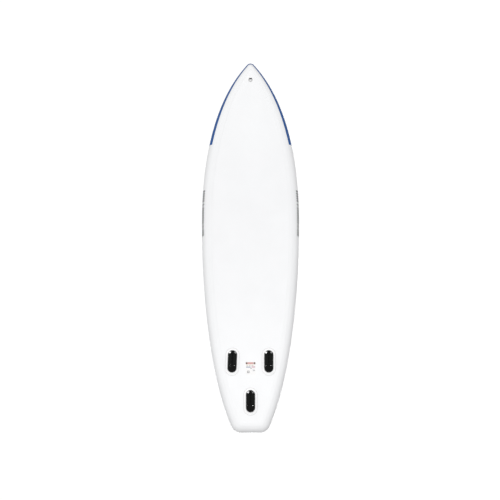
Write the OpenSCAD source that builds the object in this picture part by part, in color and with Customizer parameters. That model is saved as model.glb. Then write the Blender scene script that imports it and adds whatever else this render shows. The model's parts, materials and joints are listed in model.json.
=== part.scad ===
/* [Board] */
// Overall length, tail end to nose tip
board_l = 3200; // [3000:10:3400]
// Overall width
board_w = 838; // [800:2:860]
// Thickness of the inflated board
board_t = 150; // [140:1:152]
// Distance from the tail end to the widest point
wide_x = 1725; // [1690:5:1760]
// Radius of the nose tip in plan
nose_r = 38; // [34:1:40]
// Angle between the centre line and the rail behind the nose tip
nose_angle = 43; // [42:1:44]
// Radius of the tail corners in plan
tail_r = 95; // [90:1:100]
// Length of the straight tail end
tail_flat = 160; // [150:2:170]
// Lift of the nose tip over the flat middle of the hull
nose_lift = 140; // [100:5:150]
// Angle of the flat tail section to the middle of the hull
tail_angle = 2.5; // [1.5:0.5:3]

/* [Rails] */
// Depth of the rounded rail in plan, along the sides and the tail
rail_d = 72; // [68:1:75]
// Depth of the rounded rail at the nose tip
rail_nose = 30; // [26:1:31]
// Thickness of the rail band
band_t = 1.6; // [1.2:0.1:2]
// Thickness of the hull and deck fabric
skin_t = 1.2; // [1:0.1:1.6]
// Thickness of the seam tapes
tape_t = 0.8; // [0.6:0.1:1]
// Width of a seam tape on the flat side of the joint
tape_w = 18; // [16:1:20]

/* [Fin boxes] */
// Length of a fin box
fin_l = 194; // [190:1:200]
// Width of a fin box
fin_w = 80; // [78:1:84]
// Height of a fin box above its patch
fin_h = 17; // [17:0.5:19]
// How far the bevel draws in the top of a fin box
fin_bevel = 7; // [5:0.5:8]
// Distance of the side fin boxes behind the middle of the board
fin_side_x = 981; // [975:1:984]
// Distance of the side fin boxes from the centre line
fin_side_y = 158; // [150:1:160]
// Distance of the centre fin box behind the middle of the board
fin_centre_x = 1326; // [1322:1:1335]
// Thickness of the patches on the hull
patch_t = 1.2; // [1:0.1:1.4]

/* [Deck] */
// Thickness of the traction pad
pad_t = 5; // [4:0.5:6]
// Distance of the valve behind the middle of the board
valve_x = 1342; // [1335:1:1345]
// Height of the handle strap over the deck at its middle
handle_h = 30; // [28:1:36]

/* [Rings] */
// Radius of the ring wire
wire_r = 2; // [1.8:0.1:2.2]
// Half the width of a ring between its wire centres
ring_hw = 15; // [15:0.5:17]

/* [Hidden] */
$fn = 48;

// Colours
white = "white";
pvc_grey = "gainsboro";
black = "#202224";
steel = "silver";
blue = "#2a5ca8";

// The hull stands on the side fin boxes, so the flat middle of the hull is this high
hull_z = fin_h + patch_t;
mid_z = hull_z + board_t / 2;
tail_x = -board_l / 2;
nose_x = board_l / 2;

// ---- Outline in plan, port side, from the middle of the tail to the nose tip ----

rear_angle = 23;
rear_reach = [587, 241];
front_reach = [138, 625];
rear_steps = 12;
front_steps = 16;
front_crowding = 1.35;

function unit(v) = v / norm(v);
function left_of(v) = [-v[1], v[0]];
function bezier(p, t) =
    pow(1 - t, 3) * p[0] + 3 * pow(1 - t, 2) * t * p[1] + 3 * (1 - t) * t * t * p[2] + t * t * t * p[3];
function bezier_dir(p, t) =
    unit(pow(1 - t, 2) * (p[1] - p[0]) + 2 * (1 - t) * t * (p[2] - p[1]) + t * t * (p[3] - p[2]));

tail_c = [tail_x + tail_r, tail_flat / 2];
nose_c = [nose_x - nose_r, 0];
tail_end = tail_c + tail_r * [-sin(rear_angle), cos(rear_angle)];
nose_start = nose_c + nose_r * [sin(nose_angle), cos(nose_angle)];
widest = [tail_x + wide_x, board_w / 2];
rear_curve = [
    tail_end,
    tail_end + rear_reach[0] * [cos(rear_angle), sin(rear_angle)],
    widest - [rear_reach[1], 0],
    widest
];
front_curve = [
    widest,
    widest + [front_reach[0], 0],
    nose_start - front_reach[1] * [cos(nose_angle), -sin(nose_angle)],
    nose_start
];

// A station is [point on the outline, outward normal]
function on_curve(curve, t) = [bezier(curve, t), left_of(bezier_dir(curve, t))];
function on_arc(c, r, a) = [c + r * [cos(a), sin(a)], [cos(a), sin(a)]];
tail_stations = [for (i = [0:4]) on_arc(tail_c, tail_r, 180 - i * (90 - rear_angle) / 4)];
rear_stations = [for (i = [1:rear_steps]) on_curve(rear_curve, i / rear_steps)];
front_stations = [
    for (i = [1:front_steps]) on_curve(front_curve, 1 - pow(1 - i / front_steps, front_crowding))
];
nose_stations = [for (i = [1:4]) on_arc(nose_c, nose_r, (90 - nose_angle) * (1 - i / 4))];
stations = concat(
    [[[tail_x, 0], [-1, 0]]], tail_stations, rear_stations, front_stations, nose_stations
);
n_stations = len(stations);
first_front = 1 + len(tail_stations) + rear_steps;

// The rail is half an ellipse outside the inset outline, and it gets shallow towards the nose
rail_fade = 700;
function rail_depth(s) =
    rail_nose + (rail_d - rail_nose) * sin(90 * min(1, (nose_x - s[0][0]) / rail_fade));
function inset(s) = s[0] - rail_depth(s) * s[1];
function mirrored(s) = [[s[0][0], -s[0][1]], [s[1][0], -s[1][1]]];
inset_points = [for (s = stations) inset(s)];

// ---- Rocker: a flat tilted tail, a short bend, a flat middle and a curved nose ----

tail_plane = 400;
tail_bend = 100;
nose_rocker = 900;
function rocker(x) =
    let (d = x - tail_x, e = nose_x - x, s = tan(tail_angle))
    e < nose_rocker ? nose_lift * pow(1 - e / nose_rocker, 2)
    : d < tail_plane ? s * (tail_plane - d + tail_bend / 2)
    : d < tail_plane + tail_bend ? s * pow(tail_plane + tail_bend - d, 2) / (2 * tail_bend)
    : 0;
// Every surface bends at the same places across the board, so that layers lie flat on each other
rocker_table = concat(
    [[tail_x, rocker(tail_x)]],
    [for (i = [1:n_stations - 1]) [inset_points[i][0], rocker(inset_points[i][0])]],
    [[nose_x, rocker(nose_x)]]
);
function rise(x) = lookup(x, rocker_table);
function half_width(x) =
    lookup(x, [for (i = [1:n_stations - 1]) inset_points[i]]);

// ---- Shapes that repeat ----

// A thick sheet between two grids of points, with rows from tail to nose.
// From row `turn` on its facets are split the other way, as those of a mirrored sheet are
module sheet(outer, inner, turn = 1000) {
    m = len(outer);
    k = len(outer[0]);
    function a(i, j) = i * k + j;
    function b(i, j) = (m + i) * k + j;
    function quad(i, p, q, r, s) = i < turn ? [[p, q, r], [p, r, s]] : [[q, r, s], [q, s, p]];
    polyhedron(
        concat([for (row = outer) each row], [for (row = inner) each row]),
        concat(
            [for (i = [0:m - 2], j = [0:k - 2])
                each quad(i, a(i, j), a(i + 1, j), a(i + 1, j + 1), a(i, j + 1))],
            [for (i = [0:m - 2], j = [0:k - 2])
                each quad(i, b(i, j), b(i, j + 1), b(i + 1, j + 1), b(i + 1, j))],
            [for (i = [0:m - 2]) each quad(i, a(i, 0), b(i, 0), b(i + 1, 0), a(i + 1, 0))],
            [for (i = [0:m - 2]) each quad(i, a(i + 1, k - 1), b(i + 1, k - 1), b(i, k - 1), a(i, k - 1))],
            [for (j = [0:k - 2]) each quad(0, a(0, j + 1), b(0, j + 1), b(0, j), a(0, j))],
            [for (j = [0:k - 2]) each quad(0, a(m - 1, j), b(m - 1, j), b(m - 1, j + 1), a(m - 1, j + 1))]
        )
    );
}

// A point on the rail at angle a from the middle of the board's thickness, grown outwards by g
function rail_point(s, a, g) =
    let (p = inset(s) + (rail_depth(s) + g) * cos(a) * s[1])
    [p[0], p[1], mid_z + rise(p[0]) + (board_t / 2 + g) * sin(a)];
// A point on the flat inside the rail, w in from the joint, on the hull (side -1) or the deck (side 1).
// Ahead of the flat tail it keeps its station's x, so that tape and skin bend at the same places
function flat_point(s, w, side, g) =
    let (
        p = inset(s),
        in_tail = s[1][0] < 0.01 - sin(rear_angle),
        q = in_tail ? p - w * s[1] : [p[0], p[1] - w / max(s[1][1], 0.1)]
    )
    [q[0], max(q[1], 0), mid_z + rise(q[0]) + side * (board_t / 2 + g)];
function mix(p, q, f) = p + f * (q - p);

// A coil of round wire standing on z = 0
module coil(r, wire, height, turns) {
    sides = 6;
    steps = 12 * turns;
    function ring(i) =
        let (a = 30 * i, z = wire + (height - 2 * wire) * i / steps)
        [for (j = [0:sides - 1])
            let (b = 360 * j / sides, q = r + wire * cos(b))
            [q * cos(a), q * sin(a), z + wire * sin(b)]];
    polyhedron(
        [for (i = [0:steps]) each ring(i)],
        concat(
            [[for (j = [0:sides - 1]) j]],
            [for (i = [0:steps - 1], j = [0:sides - 1])
                let (p = i * sides + j, q = i * sides + (j + 1) % sides)
                each [[p, q + sides, q], [p, p + sides, q + sides]]],
            [[for (j = [sides - 1:-1:0]) steps * sides + j]]
        )
    );
}

module stadium(l, w) {
    square([l - w, w], center = true);
    for (s = [-1, 1]) translate([s * (l - w) / 2, 0]) circle(d = w, $fn = 64);
}

// Puts its children on the deck, with +z away from the board
module on_deck(x, y, span) {
    slope = (rise(x + span) - rise(x - span)) / (2 * span);
    level = (rise(x + span) + rise(x - span)) / 2;
    translate([x, y, hull_z + board_t + level]) rotate([0, -atan(slope), 0]) children();
}

// Puts its children under the hull, with +z away from the board and +x towards the nose
module on_hull(x, y, toe) {
    slope = rise(x + 0.5) - rise(x - 0.5);
    translate([x, y, hull_z + rise(x)]) rotate([0, -atan(slope), 0]) rotate([180, 0, toe]) children();
}

// ---- Shell of the board ----

skin_rows = [for (i = [1:n_stations - 1]) if (inset_points[i][1] > 1) inset_points[i]];
function skin_grid(z, side) =
    [for (p = skin_rows) [for (s = [-side, side]) [p[0], s * p[1], z + rise(p[0])]]];

module hull_skin() {
    color(white) sheet(skin_grid(hull_z, 1), skin_grid(hull_z + skin_t, 1));
}

valve_hole = 23.5;

module deck_skin() {
    top = hull_z + board_t;
    color(white) difference() {
        sheet(skin_grid(top, -1), skin_grid(top - skin_t, -1));
        on_deck(-valve_x, 0, 20) translate([0, 0, -10]) cylinder(r = valve_hole, h = 20);
    }
}

thread_r = 0.8;
thread_pitch = [145, 92];

// The threads fill the board far more closely, and each rod here stands for a bundle
module drop_stitch_threads() {
    color(pvc_grey)
    for (i = [-10:10], j = [-4:4]) {
        x = i * thread_pitch[0];
        y = j * thread_pitch[1];
        slack = thread_r * abs(rise(x + 1) - rise(x - 1)) / 2 + 0.01;
        if (abs(y) < half_width(x) - 12 && norm([x + valve_x, y]) > 60)
            translate([x, y, hull_z + skin_t + rise(x) + slack])
                cylinder(r = thread_r, h = board_t - 2 * skin_t - 2 * slack, $fn = 16);
    }
}

stripe_a = 46;
tape_a = 75;
rail_angles = [-90, -tape_a, -60, -stripe_a, -23, 0, 23, stripe_a, 60, tape_a, 90];

module rail_band() {
    sheet(
        [for (s = stations) [for (a = rail_angles) rail_point(s, a, 0)]],
        [for (s = stations) [for (a = rail_angles) rail_point(s, a, -band_t)]]
    );
}

function tape_row(s, side, g) =
    let (row = [flat_point(s, tape_w, side, g), rail_point(s, side * 90, g), rail_point(s, side * tape_a, g)])
    side < 0 ? row : [row[2], row[1], row[0]];

module tape(side) {
    sheet(
        [for (s = stations) tape_row(s, side, tape_t)],
        [for (s = stations) tape_row(s, side, 0)]
    );
}

module rail_band_port() { color(white) rail_band(); }
module rail_band_starboard() { color(white) mirror([0, 1, 0]) rail_band(); }
module hull_tape_port() { color(white) tape(-1); }
module hull_tape_starboard() { color(white) mirror([0, 1, 0]) tape(-1); }
module deck_tape_port() { color(white) tape(1); }
module deck_tape_starboard() { color(white) mirror([0, 1, 0]) tape(1); }

function both_sides(list) =
    concat(list, [for (i = [len(list) - 2:-1:0]) mirrored(list[i])]);

nose_joint_rows = 4;

// Inside the nose, over the joint of the two rail bands
module nose_joint_patch() {
    angles = [-60, -stripe_a, -23, 0, 23, stripe_a, 60];
    rows = both_sides([for (i = [n_stations - 1 - nose_joint_rows:n_stations - 1]) stations[i]]);
    color(white) sheet(
        [for (s = rows) [for (a = angles) rail_point(s, a, -band_t)]],
        [for (s = rows) [for (a = angles) rail_point(s, a, -band_t - tape_t)]],
        nose_joint_rows
    );
}

// Outside the tail, over the other joint
module tail_joint_patch() {
    angles = [-60, -stripe_a, -23, 0, 23, stripe_a, 60];
    rows = [for (y = [-35, 35]) [[tail_x, y], [-1, 0]]];
    color(white) sheet(
        [for (s = rows) [for (a = angles) rail_point(s, -a, tape_t)]],
        [for (s = rows) [for (a = angles) rail_point(s, -a, 0)]]
    );
}

stripe_t = 0.4;
stripe_first = first_front + 6;
stripe_cut = [0.27, 0.51];

// The blue band round the nose, with a slanted end on each rail
module nose_stripe() {
    angles = [-stripe_a, -23, 0, 23, stripe_a];
    function row(s, g) = [for (a = angles) rail_point(s, a, g)];
    function end_row(s, t, g) =
        [for (j = [0:4])
            let (cut = mix(stripe_cut[0], stripe_cut[1], j / 4))
            mix(rail_point(t, angles[j], g), rail_point(s, angles[j], g), cut)];
    function rows(g) =
        let (
            port = [for (i = [stripe_first + 1:n_stations - 1]) stations[i]],
            ends = [stations[stripe_first], stations[stripe_first + 1]]
        )
        concat(
            [end_row(ends[0], ends[1], g)],
            [for (s = both_sides(port)) row(s, g)],
            [end_row(mirrored(ends[0]), mirrored(ends[1]), g)]
        );
    color(blue) sheet(rows(stripe_t), rows(0), n_stations - 1 - stripe_first);
}

module hull_label() {
    color("mistyrose") on_hull(-1040, 0, 0) linear_extrude(0.3) square([110, 85], center = true);
}

// ---- Rings on glued patches ----

ring_leg = [4, 8];
ring_patch_r = 30;
ring_patch_t = 0.8;
tab_r = 3.4;
tab_w = 20;
bar_z = ring_patch_t + tab_r + 0.2;

module ring_patch() {
    cylinder(r = ring_patch_r, h = ring_patch_t, $fn = 64);
}

// The folded tab: two layers flat on the patch and a loop round the bar of the ring
module ring_tab() {
    difference() {
        union() {
            translate([-26, -tab_w / 2, ring_patch_t]) cube([26, tab_w, 2.4]);
            translate([0, 0, bar_z]) rotate([90, 0, 0]) cylinder(r = tab_r, h = tab_w, center = true);
        }
        translate([0, 0, bar_z]) rotate([90, 0, 0]) cylinder(r = wire_r + 0.3, h = tab_w + 2, center = true);
    }
}

// D-ring: bar along y at x = 0, arc towards +x
module ring() {
    elbow = ring_leg[0];
    translate([0, 0, bar_z]) {
        rotate([90, 0, 0]) cylinder(r = wire_r, h = 2 * (ring_hw - elbow), center = true);
        for (s = [-1, 1]) {
            translate([elbow, s * ring_hw, 0]) rotate([0, 90, 0])
                cylinder(r = wire_r, h = ring_leg[1] - elbow);
            translate([elbow, s * (ring_hw - elbow), 0]) rotate([0, 0, s > 0 ? 90 : 180])
                rotate_extrude(angle = 90) translate([elbow, 0]) circle(r = wire_r);
        }
        translate([ring_leg[1], 0, 0]) rotate([0, 0, -90])
            rotate_extrude(angle = 180) translate([ring_hw, 0]) circle(r = wire_r);
    }
}

nose_ring_x = nose_x - 136;
module at_nose_ring() { on_hull(nose_ring_x, 0, 180) children(); }
module nose_ring_patch() { color(white) at_nose_ring() ring_patch(); }
module nose_ring_tab() { color(white) at_nose_ring() ring_tab(); }
module nose_ring() { color(steel) at_nose_ring() ring(); }

leash_x = tail_x + 134;
module at_leash_ring() { on_deck(leash_x, 0, ring_patch_r) children(); }
module leash_ring_patch() { color(white) at_leash_ring() ring_patch(); }
module leash_ring_tab() { color(black) at_leash_ring() ring_tab(); }
module leash_ring() { color(steel) at_leash_ring() ring(); }

deck_ring_rear = [575, 215];
deck_ring_front = [905, 150];
module at_deck_ring(p, side) { on_deck(p[0], side * p[1], ring_patch_r) rotate(side * 90) children(); }
module at_deck_rings() {
    for (p = [deck_ring_rear, deck_ring_front], side = [-1, 1]) at_deck_ring(p, side) children();
}
module deck_ring_patches() { color(white) at_deck_rings() ring_patch(); }
module deck_ring_tabs() { color(black) at_deck_rings() ring_tab(); }
module deck_ring(p, side) { color(steel) at_deck_ring(p, side) ring(); }

// ---- Fin boxes ----

port = [-fin_side_x, fin_side_y, 0];
starboard = [-fin_side_x, -fin_side_y, 2.5];
centre = [-fin_centre_x, 0, 0];
module at_fin(f) { on_hull(f[0], f[1], f[2]) children(); }

patch_margin = 18;
nose_chamfer_z = 7;
channel_floor = 4;
channel_top = fin_h - 3;
channel_w = 16;
slot_w = 7;
opening_x = [60, 29, -2];
opening_l = 18;
cavity_x = -57;
cavity_front = -27;
cavity_r = 26;
pin_x = -36;
pin_z = 10;
pin_r = 2;
latch_r = cavity_r - 1;
latch_front = cavity_front - 4;
latch_bottom = 11;

// A stadium block whose sides lean in by fin_bevel, with a flatter chamfer round its nose end
module bevelled_stadium() {
    straight = fin_l - fin_w;
    top_r = fin_w / 2 - fin_bevel;
    nose_r1 = mix(fin_w / 2, top_r, nose_chamfer_z / fin_h);
    chamfer_h = fin_h - nose_chamfer_z;
    rotate([90, 0, 90]) translate([0, 0, -straight / 2]) linear_extrude(straight)
        polygon([[-fin_w / 2, 0], [fin_w / 2, 0], [top_r, fin_h], [-top_r, fin_h]]);
    translate([-straight / 2, 0, 0]) cylinder(r1 = fin_w / 2, r2 = top_r, h = fin_h, $fn = 64);
    translate([straight / 2, 0, 0]) {
        cylinder(r1 = fin_w / 2, r2 = nose_r1, h = nose_chamfer_z, $fn = 64);
        translate([0, 0, nose_chamfer_z])
            cylinder(r1 = nose_r1, r2 = nose_r1 - 1.2 * chamfer_h, h = chamfer_h, $fn = 64);
    }
}

module fin_patch(f) {
    color(white) at_fin(f) linear_extrude(patch_t)
        stadium(fin_l + 2 * patch_margin, fin_w + 2 * patch_margin);
}

module fin_base(f) {
    channel_end = fin_l / 2 - 17;
    channel_l = channel_end - latch_front;
    color(black) at_fin(f) translate([0, 0, patch_t]) difference() {
        bevelled_stadium();
        // Lug channel under the lips, the slot between the lips and the wide openings
        translate([latch_front, -channel_w / 2, channel_floor])
            cube([channel_l, channel_w, channel_top - channel_floor]);
        translate([latch_front, -slot_w / 2, channel_floor]) cube([channel_l, slot_w, fin_h]);
        for (x = opening_x) translate([x - opening_l / 2, -channel_w / 2, channel_floor])
            cube([opening_l, channel_w, fin_h]);
        // Notch where the fin's tongue enters
        translate([channel_end - 2, -7, channel_floor]) cube([22, 14, fin_h]);
        // Cavity for the latch
        translate([cavity_x, -cavity_r, channel_floor]) cube([cavity_front - cavity_x, 2 * cavity_r, fin_h]);
        translate([cavity_x, 0, channel_floor]) cylinder(r = cavity_r, h = fin_h, $fn = 64);
        // Bore for the cross pin, open on one side
        translate([pin_x, 31.2, pin_z]) rotate([90, 0, 0]) cylinder(r = pin_r + 0.05, h = 80);
    }
}

module fin_pin(f) {
    color(steel) at_fin(f) translate([pin_x, 31, patch_t + pin_z])
        rotate([90, 0, 0]) cylinder(r = pin_r, h = 66);
}

module fin_latch(f) {
    color(black) at_fin(f) translate([0, 0, patch_t]) difference() {
        union() {
            translate([cavity_x, -latch_r, latch_bottom])
                cube([latch_front - cavity_x, 2 * latch_r, fin_h - latch_bottom]);
            translate([cavity_x, 0, latch_bottom]) cylinder(r = latch_r, h = fin_h - latch_bottom, $fn = 64);
            translate([pin_x, 0, pin_z]) rotate([90, 0, 0]) cylinder(r = 4.6, h = 2 * latch_r, center = true);
            translate([latch_front - 2, -3, 7.5]) cube([15, 6, 5]);
        }
        translate([pin_x, 0, pin_z]) rotate([90, 0, 0]) cylinder(r = pin_r + 0.1, h = 60, center = true);
        // Windows over the pin, one beside its tail side and one over its whole width
        translate([pin_x - 6.5, 13, pin_z]) cube([6, 11, 10]);
        translate([pin_x - 4.8, -23, pin_z]) cube([9.6, 8, 10]);
        // Dished thumb rest with three grip ribs
        translate([-68, 0, fin_h - 2]) difference() {
            cylinder(r = 10, h = 5, $fn = 64);
            for (x = [-4, 0, 4]) translate([x - 0.8, -6, -1]) cube([1.6, 12, 2.2]);
        }
    }
}

module fin_spring(f) {
    color(steel) at_fin(f) translate([-64, 0, patch_t + channel_floor])
        coil(4.6, 0.6, latch_bottom - channel_floor, 4);
}

// ---- Inflation valve ----

valve_patch_t = 1;
gasket_t = 1.2;
flange_z = valve_patch_t + gasket_t;
flange_top = 6;
neck_r = 23;
neck_end = -34;
port_r = 16;
port_end = -6;
spider_z = -22;
stem_z = -10;
cap_z = flange_top + 0.2;
cap_r = 34;
cap_lip_r = 36;
seal_r = [22, 25];
tether_z = 8;
hinge_x = -48;
hinge_z = 5.15;
hinge_pin_r = 1;
knuckle_r = 2;
knuckle_w = 7.6;
hinge_w = 12;

module at_valve() { on_deck(-valve_x, 0, 20) children(); }
module disc_ring(outer, inner, z, h) {
    translate([0, 0, z]) difference() {
        cylinder(r = outer, h = h);
        translate([0, 0, -1]) cylinder(r = inner, h = h + 2);
    }
}

module valve_patch() { color(white) at_valve() disc_ring(50, valve_hole, 0, valve_patch_t); }
module valve_gasket() { color(black) at_valve() disc_ring(36, valve_hole, valve_patch_t, gasket_t); }
module valve_nut() { color(black) at_valve() disc_ring(34, neck_r + 0.05, -skin_t - 9, 9); }

module valve_body() {
    color("dimgray") at_valve() {
        difference() {
            union() {
                translate([0, 0, flange_z]) cylinder(r = 38, h = flange_top - flange_z);
                translate([0, 0, neck_end]) cylinder(r = neck_r, h = flange_top - neck_end - 1);
            }
            translate([0, 0, port_end]) cylinder(r = port_r, h = 20);
            translate([0, 0, neck_end + 4]) cylinder(r = 13, h = 40);
            translate([0, 0, neck_end - 1]) cylinder(r = 10, h = 10);
        }
        // Spider that guides the stem
        difference() {
            union() {
                translate([0, 0, spider_z]) cylinder(r = 5.5, h = 3);
                for (a = [0:120:240]) rotate(a) translate([4, -2, spider_z]) cube([10, 4, 3]);
            }
            translate([0, 0, spider_z - 1]) cylinder(r = 2.1, h = 5);
        }
    }
}

module valve_spring() {
    color(steel) at_valve() translate([0, 0, spider_z + 3]) coil(4, 0.6, stem_z - spider_z - 3, 3);
}

module valve_stem() {
    color("orange") at_valve() {
        difference() {
            translate([0, 0, stem_z]) cylinder(r = 6.5, h = 3.5);
            translate([-8, -1, stem_z + 2.3]) cube([16, 2, 3]);
        }
        translate([0, 0, neck_end - 2]) cylinder(r = 2, h = stem_z - neck_end + 3);
        translate([0, 0, neck_end - 3.3]) cylinder(r = 8, h = 2);
    }
}

module valve_diaphragm() { color(black) at_valve() disc_ring(13.5, 2, neck_end - 1.3, 1.2); }

// Lies round the flange, with two lugs that hold the ends of the hinge pin
module valve_tether_ring() {
    lug_w = (hinge_w - knuckle_w) / 2 - 0.2;
    color(black) at_valve() {
        disc_ring(41.5, 38.3, 2.4, 2.6);
        difference() {
            for (s = [-1, 1]) translate([hinge_x, s * (hinge_w - lug_w) / 2, 0]) {
                translate([0, -lug_w / 2, 2.4]) cube([-hinge_x - 40, lug_w, 2.6]);
                translate([0, 0, hinge_z]) rotate([90, 0, 0])
                    cylinder(r = knuckle_r, h = lug_w, center = true);
            }
            translate([hinge_x, 0, hinge_z]) rotate([90, 0, 0])
                cylinder(r = hinge_pin_r + 0.1, h = hinge_w + 2, center = true);
        }
    }
}

// Loop in the groove of the cap, with the middle knuckle and its pin moulded on
module valve_tether() {
    strap_h = 2;
    color(black) at_valve() {
        disc_ring(37.5, cap_r + 0.3, tether_z, strap_h);
        translate([hinge_x - 1.5, -knuckle_w / 2, tether_z]) cube([13, knuckle_w, strap_h]);
        translate([hinge_x - 1.5, -knuckle_w / 2, hinge_z]) cube([3, knuckle_w, tether_z - hinge_z + 1]);
        translate([hinge_x, 0, hinge_z]) rotate([90, 0, 0]) {
            cylinder(r = knuckle_r, h = knuckle_w, center = true);
            cylinder(r = hinge_pin_r, h = hinge_w, center = true);
        }
    }
}

module valve_cap() {
    color("dimgray") at_valve() {
        difference() {
            union() {
                translate([0, 0, cap_z]) cylinder(r = cap_lip_r, h = 1.5);
                translate([0, 0, cap_z]) cylinder(r = cap_r, h = 6);
                translate([0, 0, cap_z + 4.1]) cylinder(r = cap_lip_r, h = 1.9);
                translate([0, 0, cap_z + 6]) cylinder(r1 = cap_lip_r, r2 = 29, h = 3.5);
            }
            // Groove of the seal
            translate([0, 0, cap_z - 1]) rotate_extrude()
                translate([seal_r[0], 0]) square([seal_r[1] - seal_r[0], 2.6]);
        }
        // Grip bar
        translate([-24, -4, cap_z + 8]) cube([48, 8, 7.8]);
    }
}

module valve_cap_seal() {
    color(black) at_valve() disc_ring(seal_r[1] - 0.1, seal_r[0] + 0.1, flange_top + 0.05, 1.6);
}

// ---- Traction pad, kick bar and handle ----

pad_x = [-1250, 480];
pad_margin = 42;
pad_corner = 90;
pad_hole = [330, 130];

function pad_half(x) =
    let (e = min(x - pad_x[0], pad_x[1] - x), w = half_width(x) - pad_margin)
    e >= pad_corner ? w : w - pad_corner + sqrt(pow(pad_corner, 2) - pow(pad_corner - e, 2));
pad_ends = [for (a = [0:15:90]) pad_corner * (1 - cos(a))];
pad_rows = concat(
    [for (e = pad_ends) pad_x[0] + e],
    [for (p = inset_points) if (p[0] > pad_x[0] + pad_corner && p[0] < pad_x[1] - pad_corner) p[0]],
    [for (i = [len(pad_ends) - 1:-1:0]) pad_x[1] - pad_ends[i]]
);
function pad_grid(z) =
    [for (x = pad_rows) [for (s = [1, -1]) [x, s * pad_half(x), hull_z + board_t + rise(x) + z]]];

module deck_pad() {
    color("steelblue") difference() {
        sheet(pad_grid(pad_t), pad_grid(0));
        translate([0, 0, hull_z + board_t - 5]) linear_extrude(20) stadium(pad_hole[0], pad_hole[1]);
    }
}

module tail_kick() {
    color("steelblue") on_deck(-1222, 0, 20) translate([0, 160, pad_t]) rotate([90, 0, 0])
        linear_extrude(320) polygon([[-20, 0], [22, 0], [20, 4], [-6, 20], [-16, 20], [-20, 14]]);
}

handle_reach = 100;
handle_foot = 62;
handle_patch = [84, 76];
strap_t = 2;
strap_w = 38;
grip_l = 62;
grip_t = 6;
top_z = hull_z + board_t;
function arch(x) = handle_h / 2 * (1 + cos(180 * min(1, abs(x) / handle_reach)));

module handle_patches() {
    centre_x = handle_reach + handle_foot + 1 - handle_patch[0] / 2;
    color(white) for (s = [-1, 1]) translate([s * centre_x, 0, top_z])
        linear_extrude(patch_t) stadium(handle_patch[0], handle_patch[1]);
}

// The side view of a band that follows the arch of the handle out to x = reach
module arched(reach, under, over) {
    steps = 36;
    xs = [for (i = [0:steps]) mix(-reach, reach, i / steps)];
    polygon(concat(
        [for (x = xs) [x, arch(x) + over]],
        [for (i = [steps:-1:0]) [xs[i], arch(xs[i]) - under]]
    ));
}

module strap_profile() {
    arched(handle_reach + handle_foot, 0, strap_t);
}

module handle_strap() {
    color(black) translate([0, strap_w / 2, top_z + patch_t]) rotate([90, 0, 0])
        linear_extrude(strap_w) strap_profile();
}

module handle_grip() {
    color("#303236") translate([0, 0, top_z + patch_t]) rotate([90, 0, 0]) difference() {
        linear_extrude(strap_w + 8, center = true) arched(grip_l, grip_t, strap_t + grip_t);
        linear_extrude(strap_w, center = true) strap_profile();
    }
}

// ---- One line for each node ----

hull_skin();
deck_skin();
drop_stitch_threads();
rail_band_port();
rail_band_starboard();
hull_tape_port();
hull_tape_starboard();
deck_tape_port();
deck_tape_starboard();
nose_joint_patch();
tail_joint_patch();
nose_stripe();
hull_label();
nose_ring_patch();
nose_ring_tab();
nose_ring();
fin_patch(port);  // fin_patch_port
fin_base(port);  // fin_base_port
fin_latch(port);  // fin_latch_port
fin_pin(port);  // fin_pin_port
fin_spring(port);  // fin_spring_port
fin_patch(starboard);  // fin_patch_starboard
fin_base(starboard);  // fin_base_starboard
fin_latch(starboard);  // fin_latch_starboard
fin_pin(starboard);  // fin_pin_starboard
fin_spring(starboard);  // fin_spring_starboard
fin_patch(centre);  // fin_patch_centre
fin_base(centre);  // fin_base_centre
fin_latch(centre);  // fin_latch_centre
fin_pin(centre);  // fin_pin_centre
fin_spring(centre);  // fin_spring_centre
valve_patch();
valve_gasket();
valve_nut();
valve_body();
valve_spring();
valve_stem();
valve_diaphragm();
valve_tether_ring();
valve_tether();
valve_cap();
valve_cap_seal();
deck_pad();
tail_kick();
handle_patches();
handle_strap();
handle_grip();
deck_ring_patches();
deck_ring_tabs();
deck_ring(deck_ring_front, 1);  // deck_ring_front_port
deck_ring(deck_ring_front, -1);  // deck_ring_front_starboard
deck_ring(deck_ring_rear, 1);  // deck_ring_rear_port
deck_ring(deck_ring_rear, -1);  // deck_ring_rear_starboard
leash_ring_patch();
leash_ring_tab();
leash_ring();
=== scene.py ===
import json
import math
from math import cos, pi, radians, sin, sqrt

import bmesh
import bpy
import numpy as np
from mathutils import Matrix, Vector

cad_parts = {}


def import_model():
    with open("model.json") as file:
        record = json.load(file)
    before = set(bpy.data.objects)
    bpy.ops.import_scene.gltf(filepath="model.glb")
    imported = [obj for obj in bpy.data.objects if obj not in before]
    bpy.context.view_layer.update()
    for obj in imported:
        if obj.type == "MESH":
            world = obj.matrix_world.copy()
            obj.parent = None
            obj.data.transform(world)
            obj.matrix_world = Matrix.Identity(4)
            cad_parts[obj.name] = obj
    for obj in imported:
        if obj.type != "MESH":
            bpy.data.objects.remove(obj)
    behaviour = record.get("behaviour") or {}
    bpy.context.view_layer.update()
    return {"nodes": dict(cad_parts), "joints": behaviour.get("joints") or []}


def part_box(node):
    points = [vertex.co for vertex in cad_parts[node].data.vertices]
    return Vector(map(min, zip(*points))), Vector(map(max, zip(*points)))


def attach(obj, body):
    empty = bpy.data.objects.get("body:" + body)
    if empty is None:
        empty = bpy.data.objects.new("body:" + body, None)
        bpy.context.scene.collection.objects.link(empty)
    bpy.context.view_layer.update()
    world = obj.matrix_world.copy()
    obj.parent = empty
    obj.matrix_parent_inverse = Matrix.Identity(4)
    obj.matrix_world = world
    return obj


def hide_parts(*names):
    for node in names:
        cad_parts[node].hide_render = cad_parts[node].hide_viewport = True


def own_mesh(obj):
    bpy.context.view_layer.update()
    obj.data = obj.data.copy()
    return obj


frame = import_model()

# Looks of an inflatable stand up paddleboard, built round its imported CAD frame, in metres.
# +X runs to the nose, +Y to port and +Z out of the deck.

JOINTS = {j["name"]: j for j in frame["joints"]}
SIDES = {"port": 1, "starboard": -1}


# ---- The form of the board ----

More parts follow.
